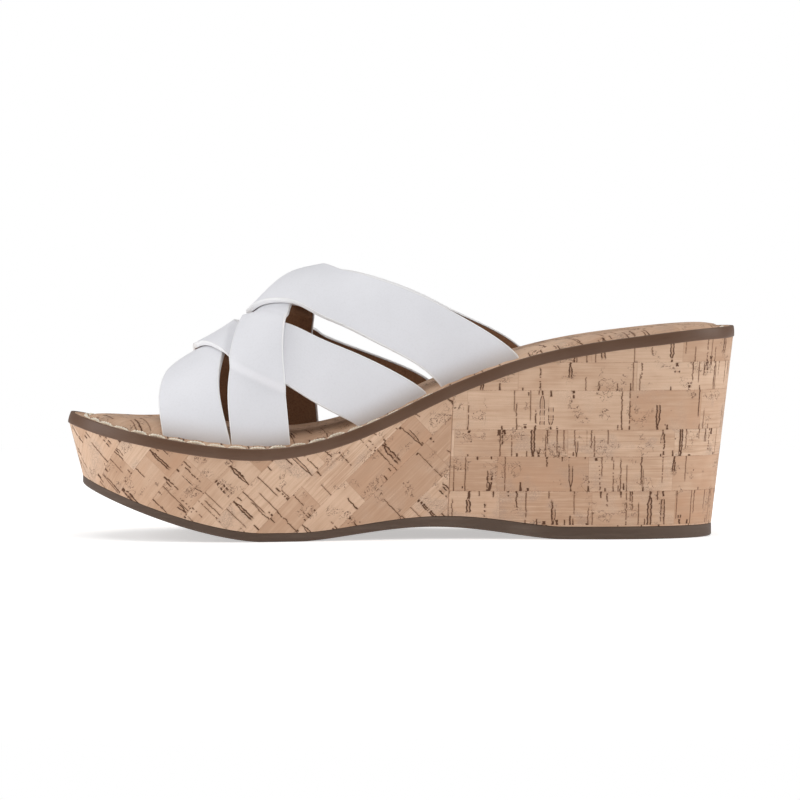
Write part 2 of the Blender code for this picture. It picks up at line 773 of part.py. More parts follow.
def out_from_foot(x, turn):
    """Outward unit normal of the foot's skin."""
    step = 1e-3
    low, high = max(turn - step, 0), min(turn + step, 1)
    normal = np.cross(foot(x + step, turn) - foot(x - step, turn), foot(x, high) - foot(x, low))
    normal /= np.linalg.norm(normal)
    away = foot(x, turn) - np.array([x, middle_of(x), rim_at(x)[0]])
    return normal if normal @ away > 0 else -normal


def across(number, share, turn):
    """The x of a point across a strap, before the lateral shift: share 0 at its front edge, 1 at its rear."""
    front, rear = STRAPS[number]["front"](turn), STRAPS[number]["rear"](turn)
    return front + (rear - front) * share


def above(number, share, turn, distance):
    """A point on a strap over the foot, at a distance from the foot's skin."""
    plain = across(number, share, turn)
    raised = distance + lift(number, plain, turn)
    x = plain + lateral_shift(plain, turn)
    return foot(x, turn) + raised * out_from_foot(x, turn)


def below(number, share, turn, inward, depth):
    """A point on a strap's end under the footbed, measured from the base line on one side."""
    plain = across(number, share, turn)
    x = plain + lateral_shift(plain, turn)
    outward = out_from_foot(x, turn)[:2]
    plan = foot(x, turn)[:2] - inward * outward / np.linalg.norm(outward)
    return footbed(*plan, depth)


def turned_in(number, share, turn, distance):
    """The strap's end, from its tip under the board up to the base line."""
    bend_depth = MARGIN_TOP - STRAP_BEND
    radius = STRAP_BEND + distance
    rows = [(STRAP_BEND + STRAP_MARGIN, bend_depth + radius)]
    for degrees in (90, 60, 30, 0):
        angle = math.radians(degrees)
        rows.append((STRAP_BEND - radius * math.cos(angle), bend_depth + radius * math.sin(angle)))
    rows.append((-distance, bend_depth / 2))
    return [below(number, share, turn, inward, depth) for inward, depth in rows]


def strap_line(number, share, distance):
    """A line along a strap, from one tip over the foot to the other, at a distance from the skin."""
    turns = np.linspace(0, 1, STRAP_ROWS + 1)
    line = turned_in(number, share, 0, distance)
    line += [above(number, share, turn, distance) for turn in turns]
    return line + turned_in(number, share, 1, distance)[::-1]


def strap_layer(name, number, distance, thickness, colour, roughness):
    """One layer of a strap, as a solid between two distances from the foot."""
    shares = list(np.linspace(0, 1, STRAP_COLUMNS + 1))
    lines = [strap_line(number, share, distance) for share in shares]
    lines += [strap_line(number, share, distance + thickness) for share in shares[::-1]]
    sections = list(zip(*lines))
    return add(name, mesh_of(name, lambda bm: beam(bm, sections)), (colour, roughness))


def straps():
    brown, white = (0.17, 0.075, 0.030), (0.76, 0.76, 0.79)
    outside = LINING_THICKNESS + GAP
    for number in STRAPS:
        strap_layer(f"strap_{number}_lining", number, 0, LINING_THICKNESS, brown, 0.7)
        strap_layer(f"strap_{number}_leather", number, outside, LEATHER_THICKNESS, white, 0.5)


def slot_cutters():
    """A curved slab round each strap where it goes down through the footbed."""
    for number in STRAPS:
        strap = STRAPS[number]
        for side in (0, 1):
            rows = []
            for turn in [abs(side - t) for t in SLOT_TURNS]:
                wide = strap["rear"](turn) - strap["front"](turn)
                extra = SLOT_CLEARANCE * SLOT_WIDENING / wide
                shares = np.linspace(-extra, 1 + extra, 3)
                rows.append([above(number, s, turn, -SLOT_CLEARANCE) for s in shares])
            for depth in (MARGIN_TOP / 2, MARGIN_TOP + GAP):
                rows.append([below(number, s, side, SLOT_CLEARANCE, depth) for s in shares])
            name = f"slot_{number}_{side}"
            obj = add_cutter(name, mesh_of(name, lambda bm: strip(bm, rows)), slots)
            middle = obj.data.polygons[len(obj.data.polygons) // 2]
            if middle.normal.y * (side - 0.5) < 0:
                obj.data.flip_normals()
            thicken(obj, STRAP_THICKNESS + 2 * SLOT_CLEARANCE, 1)


# ---------------------------------------------------------------- the sandal
for old in list(bpy.data.objects):
    bpy.data.objects.remove(old)
for old in list(bpy.data.collections):
    bpy.data.collections.remove(old)

parts = collection("wedge_sandal")
slots = collection("slot_cutters")
board_cutters = collection("board_cutters")
wedge_cutters = collection("wedge_cutters")
shank_cutters = collection("shank_cutters")
filler_cutters = collection("filler_cutters")

toe_end = footbed(*outline(0, 0), RAND_HEIGHT)[0]
heel_end = footbed(*outline(0, math.pi), RAND_HEIGHT)[0]
sandal = bpy.data.objects.new("sandal_middle", None)
sandal.location.x = -(toe_end + heel_end) / 2
parts.objects.link(sandal)

add_cutter("basin", basin_cutter(), wedge_cutters)
add_cutter("shank_channel", shank_cutter(), filler_cutters)
slot_cutters()

outsole()
wedge_core()
cork_wraps()
rand()
bottom_filler()
insole_board()
shank()
shank_rivets()
heel_nails()
footbed_foam()
sock()
rim_thread()
straps()

for piece in parts.objects:
    if piece.type == "MESH" and not piece.modifiers.get("Turn"):
        piece.data.shade_smooth()
        piece.data.set_sharp_from_angle(angle=math.radians(35))
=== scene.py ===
"""Wedge sandal for the right foot: four interlaced white straps on a cork wedge.

Metres, +Z up. -X is the toe, +X the heel, -Y the inner side of the foot. The pieces are built
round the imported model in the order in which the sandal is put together, from the sole up.
"""

import math

import bmesh
import bpy
import numpy as np
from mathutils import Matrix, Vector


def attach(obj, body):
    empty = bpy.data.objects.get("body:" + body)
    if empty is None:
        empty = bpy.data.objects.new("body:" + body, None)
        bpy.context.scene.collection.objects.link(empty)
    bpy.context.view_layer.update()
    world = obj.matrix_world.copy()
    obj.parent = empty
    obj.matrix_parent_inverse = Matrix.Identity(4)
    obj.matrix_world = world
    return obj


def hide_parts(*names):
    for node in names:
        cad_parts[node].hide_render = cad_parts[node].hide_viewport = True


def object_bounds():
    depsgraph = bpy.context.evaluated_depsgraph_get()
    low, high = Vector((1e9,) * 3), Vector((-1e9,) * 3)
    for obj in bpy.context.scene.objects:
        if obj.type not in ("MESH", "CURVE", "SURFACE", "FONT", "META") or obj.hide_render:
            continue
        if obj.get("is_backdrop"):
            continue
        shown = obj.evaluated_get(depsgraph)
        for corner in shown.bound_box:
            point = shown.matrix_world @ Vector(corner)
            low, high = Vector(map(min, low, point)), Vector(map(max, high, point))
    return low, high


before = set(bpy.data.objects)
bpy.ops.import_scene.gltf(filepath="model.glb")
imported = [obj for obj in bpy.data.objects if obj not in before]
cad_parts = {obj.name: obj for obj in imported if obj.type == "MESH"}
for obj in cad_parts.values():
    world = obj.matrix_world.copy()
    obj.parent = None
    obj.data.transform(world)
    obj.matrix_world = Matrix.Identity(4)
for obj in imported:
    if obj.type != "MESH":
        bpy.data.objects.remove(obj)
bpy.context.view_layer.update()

# ---------------------------------------------------------------------------- the studio
# A white table under a white sky, with a broad lamp overhead, one at each end of the sandal and
# a weak one in front. The camera stands low on the inner side and looks slightly down.

CAMERA_PLACE = (-0.00056, -1.5, 0.116)
CAMERA_AIM = (-0.00056, 0.0, 0.0505)
CAMERA_LENS = 180.3

camera = bpy.data.objects.new("camera", bpy.data.cameras.new("camera"))
bpy.context.scene.collection.objects.link(camera)
camera.data.lens = CAMERA_LENS
camera.data.sensor_width = 36.0
camera.location = CAMERA_PLACE
camera_look = np.subtract(CAMERA_AIM, CAMERA_PLACE)
camera.rotation_euler = (math.pi / 2 + math.atan2(camera_look[2], camera_look[1]), 0, 0)
bpy.context.scene.camera = camera
bpy.context.scene.view_settings.view_transform = "Standard"


class Link:
    """A node's output. Sums and products with numbers or other links add Math nodes."""

    def __init__(self, tree, socket=None):
        self.tree, self.socket = tree, socket

    def add(self, kind, settings=(), values=(), output=0):
        """A new node: its type, its settings, the values or links of its sockets, and which output."""
        made = self.tree.nodes.new("ShaderNode" + kind)
        for name, value in dict(settings).items():
            setattr(made, name, value)
        for name, value in dict(values).items():
            if isinstance(value, Link):
                self.tree.links.new(value.socket, made.inputs[name])
            else:
                made.inputs[name].default_value = value
        return Link(self.tree, made.outputs[output])

    def math(self, operation, *others):
        return self.add("Math", {"operation": operation}, enumerate((self, *others)))

    def __add__(self, other):
        return self.math("ADD", other)

    __radd__ = __add__

    def __sub__(self, other):
        return self.math("SUBTRACT", other)

    def __rsub__(self, other):
        return self.add("Math", {"operation": "SUBTRACT"}, {0: other, 1: self})

    def __mul__(self, other):
        return self.math("MULTIPLY", other)

    __rmul__ = __mul__

    def __truediv__(self, other):
        return self.math("DIVIDE", other)

    def __gt__(self, other):
        return self.math("GREATER_THAN", other)

    def size(self):
        return self.math("ABSOLUTE")

    def step(self, low, high):
        """0 below low and 1 above high, rising smoothly between; falling if low is the greater."""
        return self.add("MapRange", {"interpolation_type": "SMOOTHSTEP"}, {0: self, 1: low, 2: high})

    def tint(self, plain, full):
        """A colour that goes from plain to full as this value goes from 0 to 1."""
        plain, full = (c if isinstance(c, Link) else (*c, 1) for c in (plain, full))
        return self.add("Mix", {"data_type": "RGBA"}, {0: self, 6: plain, 7: full}, 2)

    def parts(self):
        """The three numbers of a vector or a colour."""
        split = self.add("SeparateXYZ", (), {0: self})
        return [Link(self.tree, output) for output in split.socket.node.outputs]

    def point(self, x, y, z=0.0):
        return self.add("CombineXYZ", (), {0: x, 1: y, 2: z})

    def place(self):
        """The point's own place in the object, in metres."""
        return self.add("TexCoord", (), (), "Object")

    def cells(self, point, scale, output=0, **settings):
        return self.add("TexVoronoi", settings, {"Vector": point, "Scale": scale}, output)

    def noise(self, point, scale, detail=2.0, roughness=0.5):
        values = {"Vector": point, "Scale": scale, "Detail": detail, "Roughness": roughness}
        return self.add("TexNoise", (), values)

    def random(self, x, y, z):
        """Three random numbers, the same wherever x, y and z are the same."""
        values = {"Vector": self.point(x, y, z)}
        return self.add("TexWhiteNoise", {"noise_dimensions": "3D"}, values, 1).parts()


def new_material(name, colour, roughness, metallic=0.0, shine=0.5):
    """A material with even values: returns it, its shader node, and a start for links."""
    made = bpy.data.materials.new(name)
    made.use_nodes = True
    shader = made.node_tree.nodes["Principled BSDF"]
    shader.inputs["Base Color"].default_value = (*colour, 1)
    shader.inputs["Roughness"].default_value = roughness
    shader.inputs["Metallic"].default_value = metallic
    shader.inputs["Specular IOR Level"].default_value = shine
    return made, shader, Link(made.node_tree)


def finish_with(start, shader, **links):
    """Joins links to the shader's sockets; underscores stand for the spaces in their names."""
    for name, link in links.items():
        start.tree.links.new(link.socket, shader.inputs[name.replace("_", " ")])


def relief(start, height, depth, strength=1.0):
    """A bumped normal from a height of 0 to 1 that stands for this depth in metres."""
    return start.add("Bump", (), {"Height": height, "Distance": depth, "Strength": strength})


TABLE_SIZE = 2.4
TABLE_LIT_TO, TABLE_WHITE_FROM = 0.30, 0.62
TABLE_COLOUR, TABLE_GLOW = (0.93, 0.93, 0.93), 0.47

table_mesh = bpy.data.meshes.new("table")
half = TABLE_SIZE / 2
table_corners = [(-half, -half, 0), (half, -half, 0), (half, half, 0), (-half, half, 0)]
table_mesh.from_pydata(table_corners, [], [(0, 1, 2, 3)])
table = bpy.data.objects.new("table", table_mesh)
bpy.context.scene.collection.objects.link(table)
table_white, table_shader, start = new_material("table_white", TABLE_COLOUR, 0.9, shine=0.2)
x, y, z = start.place().parts()
away = (x * x + y * y).math("SQRT")
bare_white = start.add("Emission", (), {"Color": (1, 1, 1, 1), "Strength": 1.0})
table_shader.inputs["Emission Color"].default_value = (1, 1, 1, 1)
table_shader.inputs["Emission Strength"].default_value = TABLE_GLOW
lit = Link(start.tree, table_shader.outputs[0])
far = away.step(TABLE_LIT_TO, TABLE_WHITE_FROM)
blended = start.add("MixShader", (), {0: far, 1: lit, 2: bare_white})
start.tree.links.new(blended.socket, start.tree.nodes["Material Output"].inputs["Surface"])
table_mesh.materials.append(table_white)
table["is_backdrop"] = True

# The sky is white to the camera and greyer as a light, so that the lamps model the shapes.
SKY_LIGHT = 0.27
sky = bpy.data.worlds.new("sky")
sky.use_nodes = True
bpy.context.scene.world = sky
sky_start = Link(sky.node_tree)
seen = sky_start.add("LightPath", (), (), "Is Camera Ray")
sky_back = sky.node_tree.nodes["Background"]
sky_back.inputs["Color"].default_value = (1, 1, 1, 1)
sky.node_tree.links.new((seen * (1 - SKY_LIGHT) + SKY_LIGHT).socket, sky_back.inputs["Strength"])

LAMPS = {
    "lamp_above": ((0.0, -0.15, 1.15), (0.0, 0.0, 0.04), 1.3, 0.9, 6.4),
    "lamp_toe_side": ((-1.10, -0.22, 0.42), (0.0, 0.0, 0.05), 0.7, 0.9, 6.6),
    "lamp_heel_side": ((1.10, -0.16, 0.46), (0.0, 0.0, 0.05), 0.7, 0.9, 5.6),
    "lamp_front": ((0.1, -1.30, 0.75), (0.0, 0.0, 0.05), 0.9, 0.6, 0.3),
}
for name, (place, aim, wide, tall, power) in LAMPS.items():
    lamp = bpy.data.lights.new(name, "AREA")
    lamp.shape, lamp.size, lamp.size_y, lamp.energy = "RECTANGLE", wide, tall, power
    holder = bpy.data.objects.new(name, lamp)
    bpy.context.scene.collection.objects.link(holder)
    holder.location = place
    towards = np.subtract(aim, place)
    level = math.hypot(towards[0], towards[1])
    holder.rotation_euler = (math.atan2(level, -towards[2]), 0, math.atan2(-towards[0], towards[1]))

# ---------------------------------------------------------------------------- outsole
# A thin moulded sheet of brown rubber, cemented under the wedge and trimmed flush with it. It
# springs up at the toe, bridges the arch, and has shallow grooves where it meets the ground.

FOOTBED_LENGTH, FOOTBED_WIDTH = 0.2476, 0.088
BALL_HEIGHT, TOE_RISE, HEEL_RISE = 0.0344, 0.0124, 0.0442
BALL_AT = 0.29
TOE_TIP = -0.068
MEDIAL_SIDE = [
    (0, TOE_TIP), (0.032, -0.29), (0.112, -0.437), (0.22, -0.5), (0.34, -0.466), (0.48, -0.363),
    (0.60, -0.324), (0.72, -0.352), (0.84, -0.362), (0.92, -0.307), (0.96, -0.239), (1, -0.006),
]
LATERAL_SIDE = [
    (0, TOE_TIP), (0.032, 0.131), (0.112, 0.347), (0.22, 0.472), (0.32, 0.5), (0.44, 0.474),
    (0.60, 0.402), (0.72, 0.375), (0.84, 0.342), (0.92, 0.285), (0.96, 0.219), (1, -0.006),
]
TOE_CURVE = [(0, 1), (0.0355, 0.80), (0.098, 0.49), (0.143, 0.322), (0.212, 0.107)]
HEEL_CURVE = [
    (0.342, 0.023), (0.408, 0.113), (0.475, 0.262), (0.541, 0.441), (0.608, 0.60),
    (0.675, 0.733), (0.763, 0.851), (0.852, 0.925), (0.942, 0.98), (1, 1),
]
RAND_HEIGHT = 0.0042

SOLE_TOE_SPRING, SOLE_ARCH, SOLE_BEND = 0.0218, 0.0045, 1.5
SOLE_BALL_TO, SOLE_HEEL_FROM = 0.35, 0.735
SOLE_FRONT_THICKNESS, SOLE_HEEL_THICKNESS = 0.0032, 0.0047
SOLE_THICKENS_FROM, SOLE_THICKENS_OVER = 0.42, 0.26
SOLE_TOE_INSET, SOLE_HEEL_INSET = 0.0044, 0.0082
SOLE_EDGE_ROUND = 0.0009
GROOVE_PITCH, GROOVE_WIDTH, GROOVE_DEPTH, GROOVE_BORDER = 0.0052, 0.0016, 0.0006, 0.0070
GROOVED_PARTS = ((0.06, 0.40), (0.72, 0.95))
SOLE_COLOUR, SOLE_SCUFF_COLOUR = (0.082, 0.051, 0.035), (0.130, 0.092, 0.070)
STATIONS = 300


def smooth_curve(points):
    """A natural cubic spline through (position, value) points, as a function of position."""
    at, value = np.array(points, float).T
    gap = np.diff(at)
    slope = np.diff(value) / gap
    matrix, right = np.eye(len(at)), np.zeros(len(at))
    for i in range(1, len(at) - 1):
        matrix[i, i - 1 : i + 2] = gap[i - 1], 2 * (gap[i - 1] + gap[i]), gap[i]
        right[i] = 6 * (slope[i] - slope[i - 1])
    bend = np.linalg.solve(matrix, right)

    def value_at(x):
        i = np.clip(np.searchsorted(at, x) - 1, 0, len(gap) - 1)
        a, b = at[i + 1] - x, x - at[i]
        cubic = (bend[i] * a**3 + bend[i + 1] * b**3) / (6 * gap[i])
        left = (value[i] / gap[i] - bend[i] * gap[i] / 6) * a
        return cubic + left + (value[i + 1] / gap[i] - bend[i + 1] * gap[i] / 6) * b

    return value_at


def turn_of(share):
    """The turn from toe (0) to heel (pi) at a share of the length."""
    return np.arccos(np.clip(1 - 2 * np.asarray(share, float), -1, 1))


def share_of(x):
    return np.clip(np.asarray(x, float) / FOOTBED_LENGTH + 0.5, 0, 1)


def ramp(value, start, length):
    share = np.clip((value - start) / length, 0, 1)
    return share * share * (3 - 2 * share)


rim_curve = smooth_curve(
    [(u, BALL_HEIGHT + TOE_RISE * rise) for u, rise in TOE_CURVE]
    + [(BALL_AT, BALL_HEIGHT)]
    + [(u, BALL_HEIGHT + HEEL_RISE * rise) for u, rise in HEEL_CURVE]
)
medial_curve, lateral_curve = (
    smooth_curve([(turn_of(u), share * FOOTBED_WIDTH) for u, share in side])
    for side in (MEDIAL_SIDE, LATERAL_SIDE)
)


def rim_at(x):
    """Height and normal (x and z) of the footbed's rim; past the ends it runs on straight."""
    u = share_of(x)
    low, high = np.maximum(u - 1e-3, 0), np.minimum(u + 1e-3, 1)
    slope = (rim_curve(high) - rim_curve(low)) / ((high - low) * FOOTBED_LENGTH)
    height = rim_curve(u) + slope * (x - (u - 0.5) * FOOTBED_LENGTH)
    long = np.hypot(1, slope)
    return height, -slope / long, 1 / long


def footbed(x, y, depth):
    """Points at this place along the rim, at a depth square to the footbed."""
    height, normal_x, normal_z = rim_at(x)
    return np.stack([x - depth * normal_x, y + 0 * x, height - depth * normal_z], -1)


class Edge:
    """The sandal's outline in plan, from the toe round the inner side to the heel and back."""

    def __init__(self, turns):
        back = turns[-2:0:-1]
        both = np.concatenate([turns, back])
        side = np.concatenate([medial_curve(turns), lateral_curve(back)])
        self.plan = np.stack([-np.cos(both) * FOOTBED_LENGTH / 2, side], -1)
        along = np.roll(self.plan, -1, 0) - np.roll(self.plan, 1, 0)
        along /= np.linalg.norm(along, axis=1, keepdims=True)
        self.inward = np.stack([-along[:, 1], along[:, 0]], -1)
        self.share = share_of(self.plan[:, 0])
        steps = np.linalg.norm(np.roll(self.plan, -1, 0) - self.plan, axis=1)
        self.length = np.concatenate([[0], np.cumsum(steps)])

    def inset(self, distance):
        """x and y of the outline moved in by a distance, or by one for each point."""
        moved = self.plan + np.reshape(distance, (-1, 1)) * self.inward
        return moved[:, 0], moved[:, 1]


def sole_bottom(x):
    """Height of the tread: toe spring, flat ball, hollow arch and flat heel."""
    u = share_of(x)
    spring = SOLE_TOE_SPRING * (np.maximum(BALL_AT - u, 0) / BALL_AT) ** SOLE_BEND
    along = np.clip((u - SOLE_BALL_TO) / (SOLE_HEEL_FROM - SOLE_BALL_TO), 0, 1)
    return spring + SOLE_ARCH * np.sin(np.pi * along).clip(0) ** SOLE_BEND


def sole_top(x):
    towards_heel = ramp(share_of(x), SOLE_THICKENS_FROM, SOLE_THICKENS_OVER)
    thicker = (SOLE_HEEL_THICKNESS - SOLE_FRONT_THICKNESS) * towards_heel
    return sole_bottom(x) + SOLE_FRONT_THICKNESS + thicker


def sole_inset(u):
    return SOLE_TOE_INSET + (SOLE_HEEL_INSET - SOLE_TOE_INSET) * u


toe_x = footbed(np.array([-FOOTBED_LENGTH / 2]), 0, RAND_HEIGHT)[0, 0]
heel_x = footbed(np.array([FOOTBED_LENGTH / 2]), 0, RAND_HEIGHT)[0, 0]
MIDDLE = np.array([-(toe_x + heel_x) / 2, 0, 0])


def new_object(name, mesh, *finishes):
    obj = bpy.data.objects.new(name, mesh)
    bpy.context.scene.collection.objects.link(obj)
    mesh.materials.clear()
    for finish in finishes:
        mesh.materials.append(finish)
    return obj


def mesh_from(name, points, faces, smooth_angle=40, **values):
    """A mesh, faces outwards, smooth but for sharp folds, with values kept at its points."""
    mesh = bpy.data.meshes.new(name)
    mesh.from_pydata((np.reshape(points, (-1, 3)) + MIDDLE).tolist(), [], faces)
    for key, value in values.items():
        value = np.asarray(value, np.float32)
        if value.ndim == 2:
            corners = np.array([corner.vertex_index for corner in mesh.loops])
            mesh.uv_layers.new(name=key).data.foreach_set("uv", value[corners].ravel())
        else:
            mesh.attributes.new(key, "FLOAT", "POINT").data.foreach_set("value", value)
    bm = bmesh.new()
    bm.from_mesh(mesh)
    bmesh.ops.recalc_face_normals(bm, faces=bm.faces)
    bm.to_mesh(mesh)
    bm.free()
    mesh.shade_smooth()
    mesh.set_sharp_from_angle(angle=math.radians(smooth_angle))
    return mesh


def ladder(first, count):
    """Faces that close a ring of points with rungs from its inner side to its lateral side."""
    faces = []
    for i in range(count // 2):
        corners = [i, i + 1, (count - i - 1) % count, (count - i) % count]
        faces.append([first + c for c in dict.fromkeys(corners)])
    return faces


def ringed(name, rings, **options):
    """A closed solid from rings round the outline, from the middle of one face to the other's."""
    count = len(rings[0])
    faces = ladder(0, count) + ladder((len(rings) - 1) * count, count)
    for k in range(len(rings) - 1):
        for i in range(count):
            j = (i + 1) % count
            faces.append((k * count + i, k * count + j, (k + 1) * count + j, (k + 1) * count + i))
    return mesh_from(name, np.concatenate(rings), faces, **options)


def groove_turns():
    """Stations of the outline, with a set at each groove's two edges and its floor."""
    shares = list((1 - np.cos(np.linspace(0, np.pi, STATIONS))) / 2)
    for low, high in GROOVED_PARTS:
        for centre in np.arange(low, high, GROOVE_PITCH / FOOTBED_LENGTH):
            shares += [centre + GROOVE_WIDTH / FOOTBED_LENGTH * k for k in (-0.5, -0.25, 0.25, 0.5)]
    shares = np.unique(np.round(shares, 5))
    return turn_of(shares[np.concatenate([[True], np.diff(shares) > 2e-4])])


def groove_depth(x):
    u = share_of(x)
    depth = np.zeros_like(u)
    for low, high in GROOVED_PARTS:
        centres = np.arange(low, high, GROOVE_PITCH / FOOTBED_LENGTH)
        near = np.abs(u[:, None] - centres).min(1) * FOOTBED_LENGTH
        beside = ramp(near, GROOVE_WIDTH * 0.24, GROOVE_WIDTH * 0.27)
        depth = np.maximum(depth, GROOVE_DEPTH * (1 - beside))
    return depth


sole_edge = Edge(groove_turns())
sole_in = sole_inset(sole_edge.share)
rings = []
for extra, grooved in ((GROOVE_BORDER + 0.0008, 1), (GROOVE_BORDER, 0)):
    x, y = sole_edge.inset(sole_in + extra)
    rings.append(np.stack([x, y, sole_bottom(x) + grooved * groove_depth(x)], -1))
for angle in np.linspace(0, math.pi / 2, 5):
    x, y = sole_edge.inset(sole_in + SOLE_EDGE_ROUND * (1 - math.sin(angle)))
    rings.append(np.stack([x, y, sole_bottom(x) + SOLE_EDGE_ROUND * (1 - math.cos(angle))], -1))
x, y = sole_edge.inset(sole_in)
for share in (0.25, 0.6, 0.97):
    low = sole_bottom(x) + SOLE_EDGE_ROUND
    rings.append(np.stack([x, y, low + share * (sole_top(x) - low)], -1))
x, y = sole_edge.inset(sole_in + 0.0002)
rings.append(np.stack([x, y, sole_top(x)], -1))

sole_rubber, shader, start = new_material("sole_rubber", SOLE_COLOUR, 0.55, shine=0.30)
place = start.place()
x, y, z = place.parts()
fine = start.noise(place, 1800, 3)
wear = start.noise(start.point(x * 40, y * 40, z * 420), 1, 4, 0.65)
cloudy = start.noise(place, 28, 3)
scuffs = wear.step(0.42, 0.72) * 0.6 + cloudy.step(0.4, 0.7) * 0.3
colour = scuffs.tint(SOLE_COLOUR, SOLE_SCUFF_COLOUR)
finish_with(
    start, shader, Base_Color=colour, Roughness=0.48 + 0.22 * wear,
    Normal=relief(start, 0.6 * fine + 0.8 * wear, 0.00012, 0.6),
)

outsole = new_object("rubber_outsole", ringed("rubber_outsole", rings), sole_rubber)
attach(outsole, "root")
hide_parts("outsole")

# ---------------------------------------------------------------------------- cork wraps
# Thin sheets of veneered cork pulled round the wedge and glued. The heel's sheet has level
# courses, and the forepart's is cut at 45 degrees; they butt at a seam on each side.

WRAP_THICKNESS, WRAP_UNDER_RAND, WRAP_SEAM_AT = 0.0010, 0.0004, 0.569
WRAP_TOP = RAND_HEIGHT - 0.0003
WRAP_FOOT_GAP = 0.0001
WRAP_SEAM_GAP, WRAP_SEAM_ROUND = 0.00005, 0.0003
WRAP_ROWS = 16
CORK_LIGHT, CORK_MID = (0.67, 0.470, 0.335), (0.465, 0.285, 0.182)
CORK_WARM, CORK_GREY = (0.460, 0.250, 0.145), (0.33, 0.235, 0.185)
CORK_MARK, CORK_MARK_HALO = (0.082, 0.033, 0.016), (0.29, 0.145, 0.075)
COURSE_HEIGHT, PLANK_LENGTH, SPECK_SCALE = 12.0, 37.0, 0.19
WRAP_LEAN = math.radians(35)
# Pores: (spacing, share that show, least and most half width in millimetres, least and most share
# of the course that they cross, waviness)
CORK_PORES = (
    (4.2, 0.30, 0.10, 0.20, 0.45, 1.15, 0.6),
    (10.3, 0.50, 0.16, 0.36, 0.35, 1.15, 1.8),
    (2.6, 0.26, 0.16, 0.36, 0.07, 0.26, 0.8),
    (7.1, 0.34, 0.12, 0.32, 0.30, 0.95, 1.6),
)


def wall(edge, inside, shares):
    """Points of the wedge's wall at shares of its height, from the sole's edge to the rand."""
    x, y = edge.inset(sole_inset(edge.share) + inside)
    low = np.stack([x, y, sole_top(x) + WRAP_FOOT_GAP], -1)
    x, y = edge.inset(WRAP_UNDER_RAND + inside)
    high = footbed(x, y, WRAP_TOP)
    return [low + (high - low) * share for share in shares]


def tube(name, sections, ring=False, **options):
    """A closed solid through closed sections, one after another, that ends flat or meets itself."""
    sections = np.asarray(sections)
    long, count = sections.shape[:2]
    faces = []
    for k in range(long if ring else long - 1):
        near, far = k * count, (k + 1) % long * count
        for i in range(count):
            j = (i + 1) % count
            faces.append((near + i, near + j, far + j, far + i))
    if not ring:
        for first in (0, (long - 1) * count):
            for i in range(count // 2 - 1):
                faces.append([first + c for c in (i, i + 1, count - i - 2, count - i - 1)])
    return mesh_from(name, sections, faces, **options)


